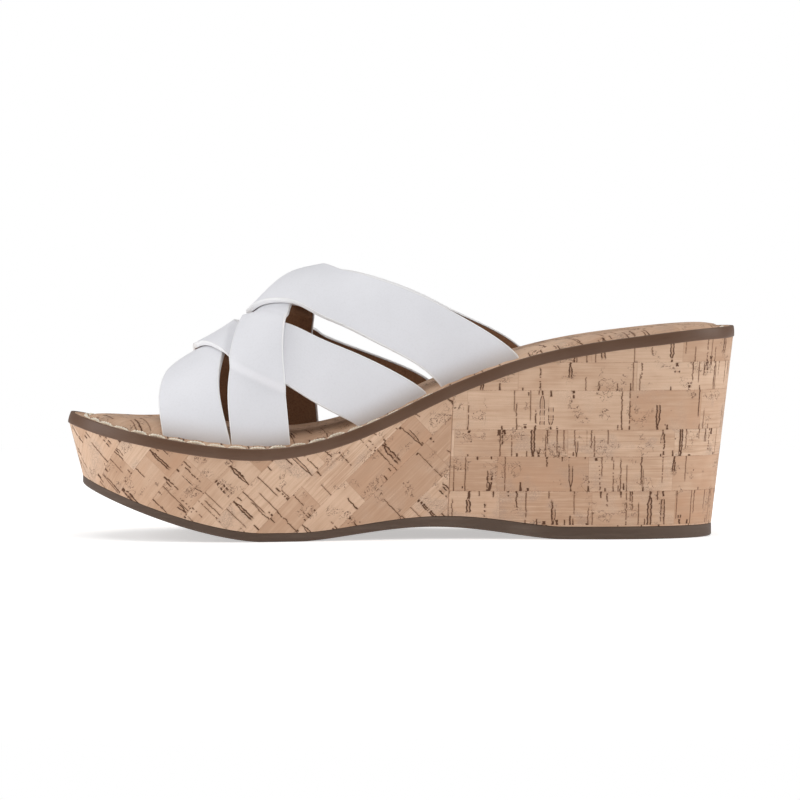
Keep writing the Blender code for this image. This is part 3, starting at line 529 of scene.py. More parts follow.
def cork_material(name, along_across, seed):
    """Cork veneer: courses of short planks cut across the growth, so dark pores cross them."""
    made, shader, start = new_material(name, CORK_MID, 0.7, shine=0.35)
    p, q = along_across(start)
    q = q + 1.3 * (q * 0.205 + seed).math("SINE")
    row = (q / COURSE_HEIGHT).math("FLOOR")
    up = q / COURSE_HEIGHT - row
    shift, stretch, row_tone = start.random(row, seed, 3.1)
    pushed = p / PLANK_LENGTH * (0.8 + 0.45 * stretch) + shift * 7.0
    plank = pushed.math("FLOOR")
    in_plank = pushed - plank
    tone, hue, third = start.random(row, plank, seed + 0.7)

    streaks = start.noise(start.point(p * 0.06, q * 1.5, plank * 3.7 + seed), 1, 4, 0.62)
    broad = start.noise(start.point(p * 0.05, q * 0.24, plank * 1.9 + row), 1, 2)
    grain = start.noise(start.point(p, q, seed), 2.6, 3, 0.7)
    clouds = start.noise(start.point(p, q, seed + 9), 0.11, 2)
    crowd = start.noise(start.point(p * 0.045, row * 2.3, seed + 3), 1, 1)
    light = 0.10 + 0.62 * tone + (0.8 + 1.5 * third * third) * (streaks - 0.5)
    light = light + 0.7 * (broad - 0.5) + 0.7 * (clouds - 0.5)
    colour = light.step(-0.15, 1.0).tint(CORK_MID, CORK_LIGHT)
    colour = (hue.step(0.55, 1.0) * broad.step(0.3, 0.7) * 0.6).tint(colour, CORK_WARM)
    smudge = clouds.step(0.50, 0.66) * grain.step(0.36, 0.62) * third.step(0.15, 0.7) * 0.6
    colour = smudge.tint(colour, CORK_GREY)
    colour = (grain.step(0.50, 0.76) * 0.28).tint(colour, CORK_WARM)

    # Each kind of pore stands in its own cells along the course, and only some of the cells show one.
    marks, halo = None, None
    for number, (spacing, showing, thin, thick, short, long, wavy) in enumerate(CORK_PORES):
        place = p / spacing + row * (0.37 + number)
        cell = place.math("FLOOR")
        aside, wide, reach = start.random(cell, row, seed + number * 5.3)
        chosen, side, torn = start.random(row, cell, seed + number * 2.9 + 0.4)
        wobble = start.noise(start.point(cell * 3.3, q * 0.55, row * 1.7 + number), 1, 4, 0.68) - 0.5
        off = ((place - cell - 0.5 - (aside - 0.5) * 0.6) * spacing + wobble * wavy).size()
        knots = start.noise(start.point(cell * 5.1, q * 1.1, row + number * 2.2), 1, 2)
        from_edge = (up - (side > 0.5)).size()
        swollen = 1 + 1.1 * torn * (1 - from_edge.step(0.0, 0.16))
        half = (thin + (thick - thin) * wide * wide) * (0.25 + 1.5 * knots) * swollen
        length = short + (long - short) * reach
        crowded = showing * (crowd.step(0.30, 0.62) * 1.5 + 0.25)
        shown = (1 - (from_edge / length).step(0.86, 1.0)) * (1 - (chosen > crowded))
        shown = shown * (knots - 0.30 * torn + 0.12).step(0.26, 0.36)
        apart = wide.step(0.80, 0.82) * (0.40 + 0.50 * torn) * (1 - from_edge.step(0.30, 0.05))
        line = (1 - ((off - apart).size() / half).step(0.55, 1.15)) * shown
        glow = (1 - (off / (half + 0.5)).step(0.2, 1.0)) * shown
        marks = line if marks is None else marks.math("MAXIMUM", line)
        halo = glow if halo is None else halo.math("MAXIMUM", glow)

    # Curled pores and specks, and the thin uneven joints between courses and planks.
    worm = start.noise(start.point(p, q, seed + 4), 0.50, 2, 0.6)
    patch = start.noise(start.point(p, q, seed + 6), 0.14, 1).step(0.57, 0.63)
    curls = (1 - (worm - 0.5).size().step(0.006, 0.026)) * patch * grain.step(0.38, 0.50)
    spots = start.cells(start.point(p, q, seed), SPECK_SCALE)
    spot_size = start.cells(start.point(p, q, seed), SPECK_SCALE, 1).parts()[0]
    specks = (1 - (spots + 0.14 * (grain - 0.5)).step(0.03, 0.085)) * spot_size.step(0.45, 0.5)
    marks = marks.math("MAXIMUM", (curls * 0.85).math("MAXIMUM", specks * 0.85))
    joint = (1 - (0.5 - (up - 0.5).size()).step(0.004, 0.020)) * (0.10 + 0.90 * grain.step(0.42, 0.62))
    butt = (1 - (0.5 - (in_plank - 0.5).size()).step(0.0015, 0.005)) * 0.45
    joints = joint.math("MAXIMUM", butt)

    colour = (halo * 0.42).tint(colour, CORK_MARK_HALO)
    colour = (joints * 0.55).tint(colour, CORK_MARK_HALO)
    colour = (marks * 0.95).tint(colour, CORK_MARK)
    height = 0.75 - 0.6 * marks - 0.35 * joints + 0.10 * streaks + 0.10 * grain
    finish_with(
        start, shader, Base_Color=colour, Roughness=0.60 + 0.14 * grain + 0.2 * marks,
        Normal=relief(start, height, 0.00035, 0.55),
    )
    return made


def sheet_lines(angle, moved):
    """Along and across the courses in millimetres, from a sheet's map of its length and height."""
    def lines(start):
        u, v, _ = start.add("UVMap", {"uv_map": "sheet"}).parts()
        u, v = u * 1000 + moved[0], v * 1000 + moved[1]
        c, s = math.cos(angle), math.sin(angle)
        return u * c + v * s, v * c - u * s

    return lines


def cork_wrap(name, edge, picks, along, finish):
    """The sheet along part of the outline. Its ends are rounded over into the seam."""
    from_end = np.minimum(along - along[0], along[-1] - along)
    settle = WRAP_SEAM_ROUND * (1 - np.clip(from_end / WRAP_SEAM_ROUND, 0, 1)) ** 2 * 0.8
    outer_shares = np.linspace(0, 1, WRAP_ROWS)
    outer = wall(edge, 0, outer_shares)
    inner = wall(edge, WRAP_THICKNESS / math.cos(WRAP_LEAN), outer_shares[::-1])
    loops = np.stack(outer + inner, 1)[picks]
    inward = edge.inward[picks]
    for k in range(WRAP_ROWS):
        loops[:, k, :2] += inward * settle[:, None]
    uv = np.stack([np.repeat(along, loops.shape[1]), loops[:, :, 2].ravel()], -1)
    wrap = new_object(name, tube(name, loops, sheet=uv), finish)
    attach(wrap, "root")
    return wrap


seam_turn = float(turn_of(WRAP_SEAM_AT))
seam_half = WRAP_SEAM_GAP / FOOTBED_LENGTH
near_seam = seam_turn + np.array([-5, -3, -2, -1, 1, 2, 3, 5]) * WRAP_SEAM_ROUND / FOOTBED_LENGTH
plain_turns = np.linspace(0, np.pi, STATIONS)
plain_turns = plain_turns[np.abs(plain_turns - seam_turn) > 7 * WRAP_SEAM_ROUND / FOOTBED_LENGTH]
at_seam = [seam_turn - seam_half, seam_turn + seam_half]
wrap_turns = np.sort(np.concatenate([plain_turns, near_seam, at_seam]))
wrap_edge = Edge(wrap_turns)
seam_index = int(np.searchsorted(wrap_turns, seam_turn))
around, ring_length = len(wrap_edge.plan), wrap_edge.length[-1]
front_picks = np.arange(1 - seam_index, seam_index)
front_along = wrap_edge.length[front_picks % around] - ring_length * (front_picks < 0)
heel_picks = np.arange(seam_index, around - seam_index + 1)
cork_fore = cork_material("cork_forepart", sheet_lines(math.radians(46), (3.0, 4.0)), 2.0)
cork_heel = cork_material("cork_heel", sheet_lines(0.0, (0.0, 6.0)), 17.0)
fore_wrap = cork_wrap("cork_forepart", wrap_edge, front_picks, front_along, cork_fore)
heel_wrap = cork_wrap("cork_heel", wrap_edge, heel_picks, wrap_edge.length[heel_picks], cork_heel)
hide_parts("cork_wrap_forepart")
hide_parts("cork_wrap_heel")

# ---------------------------------------------------------------------------- rand
# A strip of smooth brown leather, skived and glued round the top edge of the wedge. Its edges
# are rounded and it stands slightly proud of the cork, with a soft shine where it bends.

RAND_THICKNESS, RAND_ROUND, RAND_BULGE = 0.0012, 0.00042, 0.00010
RAND_COLOUR, RAND_WORN_AND_HIGHLIT_COLOUR = (0.104, 0.050, 0.026), (0.200, 0.130, 0.090)
RAND_DARK_COLOUR = (0.0780, 0.0360, 0.0182)


def rand_section():
    """(distance in from the outline, depth) round the strip's section, from the top's inner corner."""
    def bend(first, last, level):
        angles = np.radians(np.linspace(first, last, 6))
        return [(RAND_ROUND + RAND_ROUND * math.cos(a), level - RAND_ROUND * math.sin(a)) for a in angles]

    face = RAND_HEIGHT - 2 * RAND_ROUND
    flat = [(-RAND_BULGE * math.sin(math.pi * s), RAND_ROUND + face * s) for s in np.linspace(0, 1, 9)[1:-1]]
    back = [(RAND_THICKNESS, RAND_HEIGHT), (RAND_THICKNESS, 0)]
    return bend(90, 180, RAND_ROUND) + flat + bend(180, 270, RAND_HEIGHT - RAND_ROUND) + back


rand_edge = Edge(np.linspace(0, np.pi, STATIONS * 2))
from_toe = np.minimum(rand_edge.length[:-1], rand_edge.length[-1] - rand_edge.length[:-1])
waver = 0.00006 * np.sin(from_toe * 210 + 1.5) + 0.00005 * np.sin(from_toe * 77 + 1.5)
sections = [
    footbed(*rand_edge.inset(inside), depth + waver * (depth > RAND_ROUND)) for inside, depth in rand_section()
]
depths = np.array([depth for _, depth in rand_section()])
rand_map = np.stack([np.repeat(from_toe, len(depths)), np.tile(depths, len(from_toe))], -1)

rand_leather, shader, start = new_material("rand_leather", RAND_COLOUR, 0.42, shine=0.38)
u, v, _ = start.add("UVMap", {"uv_map": "strip"}).parts()
place = start.place()
drawn = start.noise(start.point(u * 120, v * 1400), 1, 4, 0.6)
pores = start.noise(place, 2600, 2)
patches = start.noise(place, 45, 3)
# Lighter along the top and bottom rounded edges: partly a painted highlight where the edges catch the light, partly
# wear, with lighter patches of wear all over.
near_edge = (v * 1000 - RAND_HEIGHT * 500).size().step(1.65, 2.15)
worn_and_highlit = near_edge * (0.25 + 0.75 * drawn.step(0.35, 0.6)) * 0.55 + 0.16 * patches.step(0.4, 0.7)
colour = worn_and_highlit.tint(RAND_COLOUR, RAND_WORN_AND_HIGHLIT_COLOUR)
colour = (drawn.step(0.45, 0.75) * 0.35).tint(colour, RAND_DARK_COLOUR)
finish_with(
    start, shader, Base_Color=colour, Roughness=0.36 + 0.16 * pores + 0.2 * near_edge,
    Normal=relief(start, pores * 0.5 + drawn * 0.5, 0.00005, 0.5),
)

rand_mesh = tube("leather_rand", np.stack(sections, 1), ring=True, strip=rand_map)
rand = new_object("leather_rand", rand_mesh, rand_leather)
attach(rand, "root")
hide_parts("rand")

# ---------------------------------------------------------------------------- padded footbed
# A sheet of cork over a thin foam pad. The seam round the edge pulls it down into a groove,
# and inside the seam the pad rises quickly to a soft crown under the whole foot.

SOCK_THICKNESS, FOAM_EDGE_THICKNESS = 0.0010, 0.0017
SOCK_INSET = RAND_THICKNESS + 0.00012
LAYER_GAP = 0.0003
CROWN_HEIGHTS = [
    (0, 0.0030), (0.06, 0.0044), (0.11, 0.0061), (0.17, 0.0064), (0.36, 0.0045), (0.6, 0.0031), (1, 0.0021),
]
CROWN_FROM_SEAM, CROWN_OVER = 0.0004, 0.0120
SEAM_INSET, SEAM_MORE_AT_TOE, SEAM_HALF = 0.0043, 0.0014, 0.0011
SEAM_TOE_GROOVE, SEAM_HEEL_GROOVE = 0.00035, 0.00135
STITCH_PITCH, PUCKER, PUCKER_ASIDE, PUCKER_HALF = 0.0075, 0.00014, 0.0022, 0.0016
PAD_INNERMOST = 0.0175

crown_height = smooth_curve(CROWN_HEIGHTS)


def seam_inset(u):
    return SEAM_INSET + SEAM_MORE_AT_TOE * (1 - ramp(u, 0, 0.045))


def crown(inset, u):
    """How far the padding rises: steep inside the seam, then flattening to the crown."""
    share = np.clip((inset - seam_inset(u) - CROWN_FROM_SEAM) / CROWN_OVER, 0, 1)
    return crown_height(u) * (1 - (1 - share) ** 2.3) * ramp(share, 0, 0.25)


def seam_groove(u):
    """How far the seam lies below the rim: it sinks out of sight towards the heel."""
    return SEAM_TOE_GROOVE + (SEAM_HEEL_GROOVE - SEAM_TOE_GROOVE) * ramp(u, 0.38, 0.25)


pad_edge = Edge(np.linspace(0, np.pi, STATIONS * 2))
seam_line = footbed(*pad_edge.inset(seam_inset(pad_edge.share)), 0.0)
seam_steps = np.linalg.norm(np.roll(seam_line, -1, 0) - seam_line, axis=1)
stitch_count = round(seam_steps.sum() / STITCH_PITCH)
over_stitch = np.cos((np.cumsum(seam_steps) - seam_steps) / seam_steps.sum() * stitch_count * 2 * math.pi)


def pad_depth(edge, inset):
    """Depth of the footbed's face below the rim: the seam's groove, deeper at each hole, and the crown."""
    inside = inset - seam_inset(edge.share)
    groove = np.exp(-((inside / SEAM_HALF) ** 2)) * (seam_groove(edge.share) - PUCKER * over_stitch)
    beside = np.exp(-(((inside - PUCKER_ASIDE) / PUCKER_HALF) ** 2)) * PUCKER * over_stitch
    return groove - beside - crown(inset, edge.share)


seam_insets = np.arange(0.0029, 0.0075, 0.00045)
crown_insets = np.linspace(0.0080, PAD_INNERMOST, 14)
pad_insets = np.concatenate([[SOCK_INSET, 0.0021], seam_insets, crown_insets])
sock_rings = [footbed(*pad_edge.inset(inset), pad_depth(pad_edge, inset)) for inset in pad_insets[::-1]]
sock_rings[-1] = footbed(*pad_edge.inset(SOCK_INSET + 0.00025), pad_depth(pad_edge, SOCK_INSET) + 0.00002)
sock_rings.append(footbed(*pad_edge.inset(SOCK_INSET), 0.00028))
sock_rings.append(footbed(*pad_edge.inset(SOCK_INSET), SOCK_THICKNESS))
sock_rings += [footbed(*pad_edge.inset(i), pad_depth(pad_edge, i) + SOCK_THICKNESS) for i in pad_insets[2::2]]


def along_the_shoe(start):
    """Courses that run slantwise over the footbed, in millimetres."""
    x, y, _ = start.place().parts()
    c, s = math.cos(math.radians(24)), math.sin(math.radians(24))
    return (x * c + y * s) * 1000, (y * c - x * s) * 1000 + 5


cork_sock = cork_material("cork_sock", along_the_shoe, 41.0)
sock = new_object("padded_sock", ringed("padded_sock", sock_rings), cork_sock)
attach(sock, "root")
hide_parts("sock")

pad_top = SOCK_THICKNESS + LAYER_GAP
pad_floor = pad_top + FOAM_EDGE_THICKNESS
pad_rings = [footbed(*pad_edge.inset(i), pad_depth(pad_edge, i) + pad_top) for i in pad_insets[::-1]]
pad_rings.append(footbed(*pad_edge.inset(SOCK_INSET), (pad_top + pad_floor) / 2))
pad_rings += [footbed(*pad_edge.inset(i), pad_floor) for i in (SOCK_INSET + 0.0004, 0.006, PAD_INNERMOST)]
foam, shader, start = new_material("foam", (0.80, 0.77, 0.68), 0.9)
place = start.place()
cells = start.cells(place, 1500.0)
finish_with(
    start, shader, Base_Color=cells.step(0.1, 0.6).tint((0.60, 0.56, 0.47), (0.83, 0.80, 0.71)),
    Normal=relief(start, cells, 0.0003, 0.7),
)
pad = new_object("foam_pad", ringed("foam_pad", pad_rings), foam)
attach(pad, "root")
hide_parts("footbed_foam")

# ---------------------------------------------------------------------------- rim stitching
# Thick twisted cream thread in a long running stitch round the footbed, just inside the rand.
# Each stitch arches between two holes and pulls the cork down where it goes in.

THREAD_RADIUS, THREAD_STRANDS, THREAD_TWISTS = 0.00068, 3, 2.4
STITCH_SHARE, STITCH_ARCH, STITCH_SEATED = 1.05, 0.00070, -0.00010
STRAND_LOBE, STRAND_CORE = 0.52, 0.54
STITCH_SHOULDER, STITCH_DIVE, STITCH_NARROWS = 3.6, 2.3, 0.38
STITCH_SKEW, STITCH_SIZES = (0.9, 0.05, 0.07), (0.88, 1.06)
THREAD_COLOUR, THREAD_SHADE = (0.96, 0.88, 0.73), (0.64, 0.49, 0.34)


class Step(Link):
    """An output in a tree of geometry nodes, whose values have the same sums and products."""

    def add(self, kind, settings=(), values=(), output=0):
        made = self.tree.nodes.new(kind if "Node" in kind else "ShaderNode" + kind)
        for name, value in dict(settings).items():
            setattr(made, name, value)
        for name, value in dict(values).items():
            if isinstance(value, Link):
                self.tree.links.new(value.socket, made.inputs[name])
            else:
                made.inputs[name].default_value = value
        return Step(self.tree, made.outputs[output])

    def make(self, kind, settings=(), output=0, **values):
        """A geometry node with its values by socket name; underscores stand for spaces."""
        named = {name.replace("_", " "): value for name, value in values.items()}
        return self.add("GeometryNode" + kind, settings, named, output)

    def parts(self):
        split = self.add("SeparateXYZ", (), {0: self})
        return [Step(self.tree, output) for output in split.socket.node.outputs]


def stitching_tree(material):
    """Stitches of twisted thread end to end along a closed path, standing on the surface's up side."""
    tree = bpy.data.node_groups.new("running_stitch", "GeometryNodeTree")
    tree.interface.new_socket(name="Geometry", in_out="OUTPUT", socket_type="NodeSocketGeometry")
    kinds = {"Geometry": "Geometry", "Stitches": "Int", "Strands": "Int", "Seed": "Int"}
    names = ("Geometry", "Stitch length", "Thread radius", "Arch", "Twists", "Stitches", "Strands", "Seed")
    for name in names:
        kind = "NodeSocket" + kinds.get(name, "Float")
        tree.interface.new_socket(name=name, in_out="INPUT", socket_type=kind)
    group = tree.nodes.new("NodeGroupInput")
    path, long, radius, arch, twists, stitches, strands, seed = (Step(tree, o) for o in group.outputs[:8])
    start = Step(tree)

    # The thread's section: a circle with a lobe for each strand.
    section = start.make("CurvePrimitiveCircle", Resolution=12, Radius=1.0)
    spot = start.make("InputPosition")
    x, y, _ = spot.parts()
    lobes = (x.add("Math", {"operation": "ARCTAN2"}, {0: y, 1: x}) * (strands * 0.5)).math("COSINE").size()
    swollen = (lobes * STRAND_LOBE + STRAND_CORE) * radius
    scaled = start.add("VectorMath", {"operation": "SCALE"}, {0: spot, "Scale": swollen})
    section = start.make("SetPosition", Geometry=section, Position=scaled)

    # One stitch along X: it dives at both ends, thins there, and turns as it goes.
    half = long * 0.5
    line = start.make("CurvePrimitiveLine", Start=start.point(half * -1.0, 0.0), End=start.point(half, 0.0))
    line = start.make("ResampleCurve", Curve=line, Count=18)
    along = start.make("InputPosition").parts()[0] / half
    dive = along.size().math("POWER", STITCH_SHOULDER)
    lift = (1.0 - dive * STITCH_DIVE) * arch
    line = start.make("SetPosition", Geometry=line, Offset=start.point(0.0, 0.0, lift))
    line = start.make("SetCurveTilt", Curve=line, Tilt=along * (twists * math.pi))
    narrow = 1.0 - dive * STITCH_NARROWS
    line = start.make("SetCurveRadius", Curve=line, Radius=narrow)
    stitch = start.make("CurveToMesh", Curve=line, Profile_Curve=section, Fill_Caps=True, Scale=narrow)

    # The path, cut into one point for each stitch, each a little different from the next.
    path = start.make("ResampleCurve", Curve=start.make("MeshToCurve", Mesh=path), Count=stitches)
    ahead = {"Vector": start.make("InputTangent")}
    turned = start.add("FunctionNodeAlignRotationToVector", {"axis": "X"}, ahead)
    upright = {"Rotation": turned, "Vector": (0, 0, 1)}
    turned = start.add("FunctionNodeAlignRotationToVector", {"axis": "Z", "pivot_axis": "X"}, upright)
    least, most = (tuple(sign * skew for skew in STITCH_SKEW) for sign in (-1, 1))
    skews = {0: least, 1: most, "Seed": seed}
    skew = start.add("FunctionNodeRandomValue", {"data_type": "FLOAT_VECTOR"}, skews)
    skewed = {"Rotation": turned, "Rotate By": skew}
    turned = start.add("FunctionNodeRotateRotation", {"rotation_space": "LOCAL"}, skewed)
    sizes = {2: STITCH_SIZES[0], 3: STITCH_SIZES[1], "Seed": seed}
    size = start.add("FunctionNodeRandomValue", {"data_type": "FLOAT"}, sizes, 1)
    made = start.make("InstanceOnPoints", Points=path, Instance=stitch, Rotation=turned, Scale=size)
    made = start.make("SetShadeSmooth", Geometry=start.make("RealizeInstances", Geometry=made))
    made = start.make("SetMaterial", Geometry=made, Material=material)
    tree.links.new(made.socket, tree.nodes.new("NodeGroupOutput").inputs[0])
    return tree


def grown(name, base, tree, inputs):
    """The plain mesh that a node tree makes from a base mesh with these named inputs."""
    seed = bpy.data.objects.new(name + "_path", base)
    bpy.context.scene.collection.objects.link(seed)
    modifier = seed.modifiers.new("Make", "NODES")
    modifier.node_group = tree
    for item in tree.interface.items_tree:
        if item.name in inputs:
            modifier[item.identifier] = inputs[item.name]
    graph = bpy.context.evaluated_depsgraph_get()
    mesh = bpy.data.meshes.new_from_object(seed.evaluated_get(graph))
    mesh.name = name
    bpy.data.objects.remove(seed)
    made = bpy.data.objects.new(name, mesh)
    bpy.context.scene.collection.objects.link(made)
    return made


thread, shader, start = new_material("thread", THREAD_COLOUR, 0.75)
place = start.place()
fuzz = start.noise(place, 5200, 3)
soiled = start.noise(place, 120, 2).step(0.45, 0.75)
colour = (0.28 * soiled + 0.40 * fuzz.step(0.5, 0.25)).tint(THREAD_COLOUR, THREAD_SHADE)
finish_with(start, shader, Base_Color=colour, Normal=relief(start, fuzz, 0.00010, 0.8))
shader.inputs["Sheen Weight"].default_value = 0.25

stitch_x, stitch_y = pad_edge.inset(seam_inset(pad_edge.share))
stitch_path = bpy.data.meshes.new("stitch_path")
stitch_points = footbed(stitch_x, stitch_y, seam_groove(pad_edge.share) - STITCH_SEATED) + MIDDLE
count = len(stitch_points)
stitch_path.from_pydata(stitch_points.tolist(), [(i, (i + 1) % count) for i in range(count)], [])
stitching = grown(
    "rim_stitching", stitch_path, stitching_tree(thread),
    {
        "Stitch length": STITCH_PITCH * STITCH_SHARE, "Thread radius": THREAD_RADIUS, "Arch": STITCH_ARCH,
        "Twists": THREAD_TWISTS, "Stitches": stitch_count, "Strands": THREAD_STRANDS, "Seed": 5,
    },
)
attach(stitching, "root")
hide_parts("rim_thread")

# ---------------------------------------------------------------------------- straps
# Four straps of white leather on a brown lining, interlaced over the instep: each lies over one
# neighbour and under the other. Their cut edges are painted, and their ends go down inside the seam.

LEATHER_THICKNESS, LINING_THICKNESS, STRAP_LAYER_GAP = 0.00130, 0.00080, 0.00004
LEATHER_ROUND, LINING_ROUND = 0.00038, 0.00020
EDGE_THICKNESS, EDGE_CORNER = 0.00055, 0.00010
LINING_SHORT = 0.00072
STRAP_INSET = 0.00855
STRAP_ENDS = (0.0042, 0.0026, 0.0010)
CROSSING_CLEARANCE = 0.00035
STRAP_RAMP, STRAP_RAMP_LEAD, RIDGE_RAMP = 0.0040, 0.0009, 0.0150
LAST_ROUNDNESS = 2.4
LATERAL_SHIFT_FRONT, LATERAL_SHIFT_REAR = 0.0095, 0.0030
SHIFT_FRONT_SPAN, SHIFT_REAR_SPAN = (0.46, 0.26), (0.84, 0.16)
TIP_REACH, TIP_TURN, TIP_SPREAD = 0.0024, 0.52, 0.05
LAST_HEIGHTS = [
    (0.115, 0.0190), (0.164, 0.0268), (0.224, 0.0366), (0.285, 0.0487), (0.329, 0.0582), (0.37, 0.0598),
    (0.438, 0.0588), (0.50, 0.0570), (0.58, 0.0520), (0.68, 0.0450), (0.74, 0.0410),
]
OUTER_FRONT = [
    (0, 0.0142), (0.05, 0.0060), (0.13, -0.0087), (0.22, -0.0248), (0.28, -0.0362), (0.33, -0.0436),
    (0.38, -0.0482), (0.45, -0.0523), (0.54, -0.0560), (0.67, -0.0603), (0.77, -0.0629), (0.89, -0.0640), (1, -0.0626),
]
OUTER_REAR = [
    (0, 0.0434), (0.065, 0.0325), (0.147, 0.0178), (0.236, 0.0030), (0.32, -0.0094), (0.42, -0.0215),
    (0.50, -0.0297), (0.60, -0.0373), (0.70, -0.0416), (0.80, -0.0438), (0.90, -0.0434), (1, -0.0416),
]
INNER_FRONT = [
    (0, -0.0166), (0.021, -0.0228), (0.074, -0.0367), (0.13, -0.0475), (0.20, -0.0568), (0.28, -0.0642),
    (0.38, -0.0700), (0.50, -0.0766), (0.61, -0.0848), (0.72, -0.0882), (0.84, -0.0892), (1, -0.0874),
]
INNER_REAR = [
    (0, 0.0091), (0.068, -0.0046), (0.139, -0.0194), (0.20, -0.0330), (0.26, -0.0432), (0.35, -0.0520),
    (0.45, -0.0590), (0.55, -0.0626), (0.70, -0.0658), (0.80, -0.0672), (0.90, -0.0662), (1, -0.0629),
]
LEATHER_COLOUR, LEATHER_NEAR_RIM_COLOUR = (0.775, 0.775, 0.81), (0.50, 0.42, 0.36)
LEATHER_EDGE_COLOUR = (0.88, 0.87, 0.85)
LINING_COLOUR, LINING_DARK = (0.265, 0.130, 0.060), (0.150, 0.066, 0.029)
STRAP_ROWS = 170

last_height = smooth_curve(LAST_HEIGHTS)


def strap_edge(points, mirrored, reach=0.0):
    """An edge's place round the foot. On the outer side, the legs stand further back."""
    curve = smooth_curve(points)
    if mirrored:
        return lambda turn: curve(1 - turn) + LATERAL_SHIFT_REAR * ramp(turn, *SHIFT_REAR_SPAN)

    def place(turn):
        tip = reach * np.exp(-(((turn - TIP_TURN) / TIP_SPREAD) ** 2))
        return curve(turn) + LATERAL_SHIFT_FRONT * ramp(turn, *SHIFT_FRONT_SPAN) - tip

    return place


# Strap 1 lies over 2, 2 over 3, 3 over 4 and 4 over 1: (front edge, rear edge, the strap under it).
STRAPS = {
    1: (strap_edge(OUTER_FRONT, False, TIP_REACH), strap_edge(OUTER_REAR, False), 2),
    2: (strap_edge(OUTER_FRONT, True), strap_edge(OUTER_REAR, True), 3),
    3: (strap_edge(INNER_FRONT, False), strap_edge(INNER_REAR, False), 4),
    4: (strap_edge(INNER_FRONT, True), strap_edge(INNER_REAR, True), 1),
}


def lift(number, x, turn):
    """How far a strap rises where it rides over the one that it crosses, which may be rising itself."""
    total, product = 0.0, 1.0
    for _ in STRAPS:
        under = STRAPS[number][2]
        down = RIDGE_RAMP if under == 2 else STRAP_RAMP
        product = product * ramp(x - STRAPS[under][0](turn), -STRAP_RAMP - STRAP_RAMP_LEAD, STRAP_RAMP)
        product = product * ramp(STRAPS[under][1](turn) - x, -down - STRAP_RAMP_LEAD, down)
        total = total + product
        number = under
    thickness = LEATHER_THICKNESS + LINING_THICKNESS + STRAP_LAYER_GAP + CROSSING_CLEARANCE
    return thickness * total / (1 - product)


def sides(x):
    place = turn_of(share_of(x))
    return medial_curve(place), lateral_curve(place)


def foot(x, turn):
    """Points on the foot's skin: a soft arch over the footbed, from base line to base line."""
    angle = turn * math.pi
    medial, lateral = sides(x)
    half = (lateral - medial) / 2 - STRAP_INSET
    power = 2 / LAST_ROUNDNESS
    across = np.copysign(np.abs(np.cos(angle)) ** power, np.cos(angle))
    height = rim_at(x)[0] + last_height(share_of(x)) * np.abs(np.sin(angle)) ** power
    return np.stack([x, (lateral + medial) / 2 - half * across, height], -1)


def out_from_foot(x, turn):
    step = 1e-3
    low, high = np.maximum(turn - step, 0), np.minimum(turn + step, 1)
    normal = np.cross(foot(x + step, turn) - foot(x - step, turn), foot(x, high) - foot(x, low))
    normal /= np.linalg.norm(normal, axis=-1, keepdims=True)
    centre = np.stack([x, sum(sides(x)) / 2, rim_at(x)[0]], -1)
    away = ((foot(x, turn) - centre) * normal).sum(-1, keepdims=True)
    return np.where(away > 0, normal, -normal)


def strap_points(number, share, turn, distance):
    """Points on a strap: share of its width, turn round the foot, and distance from the skin."""
    front, rear = STRAPS[number][0](turn), STRAPS[number][1](turn)
    x = front + (rear - front) * share
    return foot(x, turn) + (distance + lift(number, x, turn))[..., None] * out_from_foot(x, turn)


def strap_profile(thickness, rounded, short, turned_down, columns):
    """(place, side, distance) round a layer's section, rearwards over its top and back below it.

    With a side, the place is metres in from that edge; without one, it is a share of the width.
    An edge can be turned down past the layer beneath.
    """
    def corner(side, angle):
        a = math.radians(angle)
        level = thickness - rounded if angle > 0 else rounded - turned_down
        return short + rounded * (1 - math.cos(a)), side, level + rounded * math.sin(a)

    def fold(side, level, end_level):
        if not turned_down:
            return []
        return [(EDGE_THICKNESS, side, end_level), (EDGE_THICKNESS + EDGE_CORNER, side, level)]

    angles = (12, 35, 60, 90)
    shares = np.linspace(0, 1, columns)[1:-1]
    top = [corner("front", a) for a in angles] + fold("front", thickness, thickness)
    top += [(s, None, thickness) for s in shares] + fold("rear", thickness, thickness)[::-1]
    top += [corner("rear", a) for a in angles[::-1]]
    under = [corner("rear", -a) for a in angles] + fold("rear", 0.0, -turned_down)
    under += [(s, None, 0.0) for s in shares[::-1]] + fold("front", 0.0, -turned_down)[::-1]
    return top + under + [corner("front", -a) for a in angles[::-1]]


def strap_layer(name, number, near, profile, finish):
    """One layer of a strap, from one end in the footbed over the foot to the other."""
    turns = np.linspace(0, 1, STRAP_ROWS + 1)
    width = STRAPS[number][1](turns) - STRAPS[number][0](turns)
    lines, shares = [], []
    for place, side, distance in profile:
        share = {"front": place / width, "rear": 1 - place / width}.get(side, np.full_like(turns, place))
        line = strap_points(number, share, turns, near + distance)
        ends = []
        for top in (line[0], line[-1]):
            normal_x, normal_z = rim_at(top[0])[1:]
            ends.append([top - depth * np.array([normal_x, 0, normal_z]) for depth in STRAP_ENDS])
        lines.append(np.concatenate([ends[0], line, ends[1][::-1]]))
        shares.append(np.pad(share, len(STRAP_ENDS), mode="edge"))
    sections = np.stack(lines, 1)
    above_rim = sections[..., 2] - rim_at(sections[..., 0])[0]
    along = np.repeat(np.pad(turns, len(STRAP_ENDS), mode="edge"), sections.shape[1])
    strap_map = np.stack([along, np.stack(shares, 1).ravel()], -1)
    mesh = tube(name, sections, smooth_angle=50, strap=strap_map, above_rim=above_rim.ravel())
    strap = new_object(name, mesh, finish)
    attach(strap, "root")
    return strap


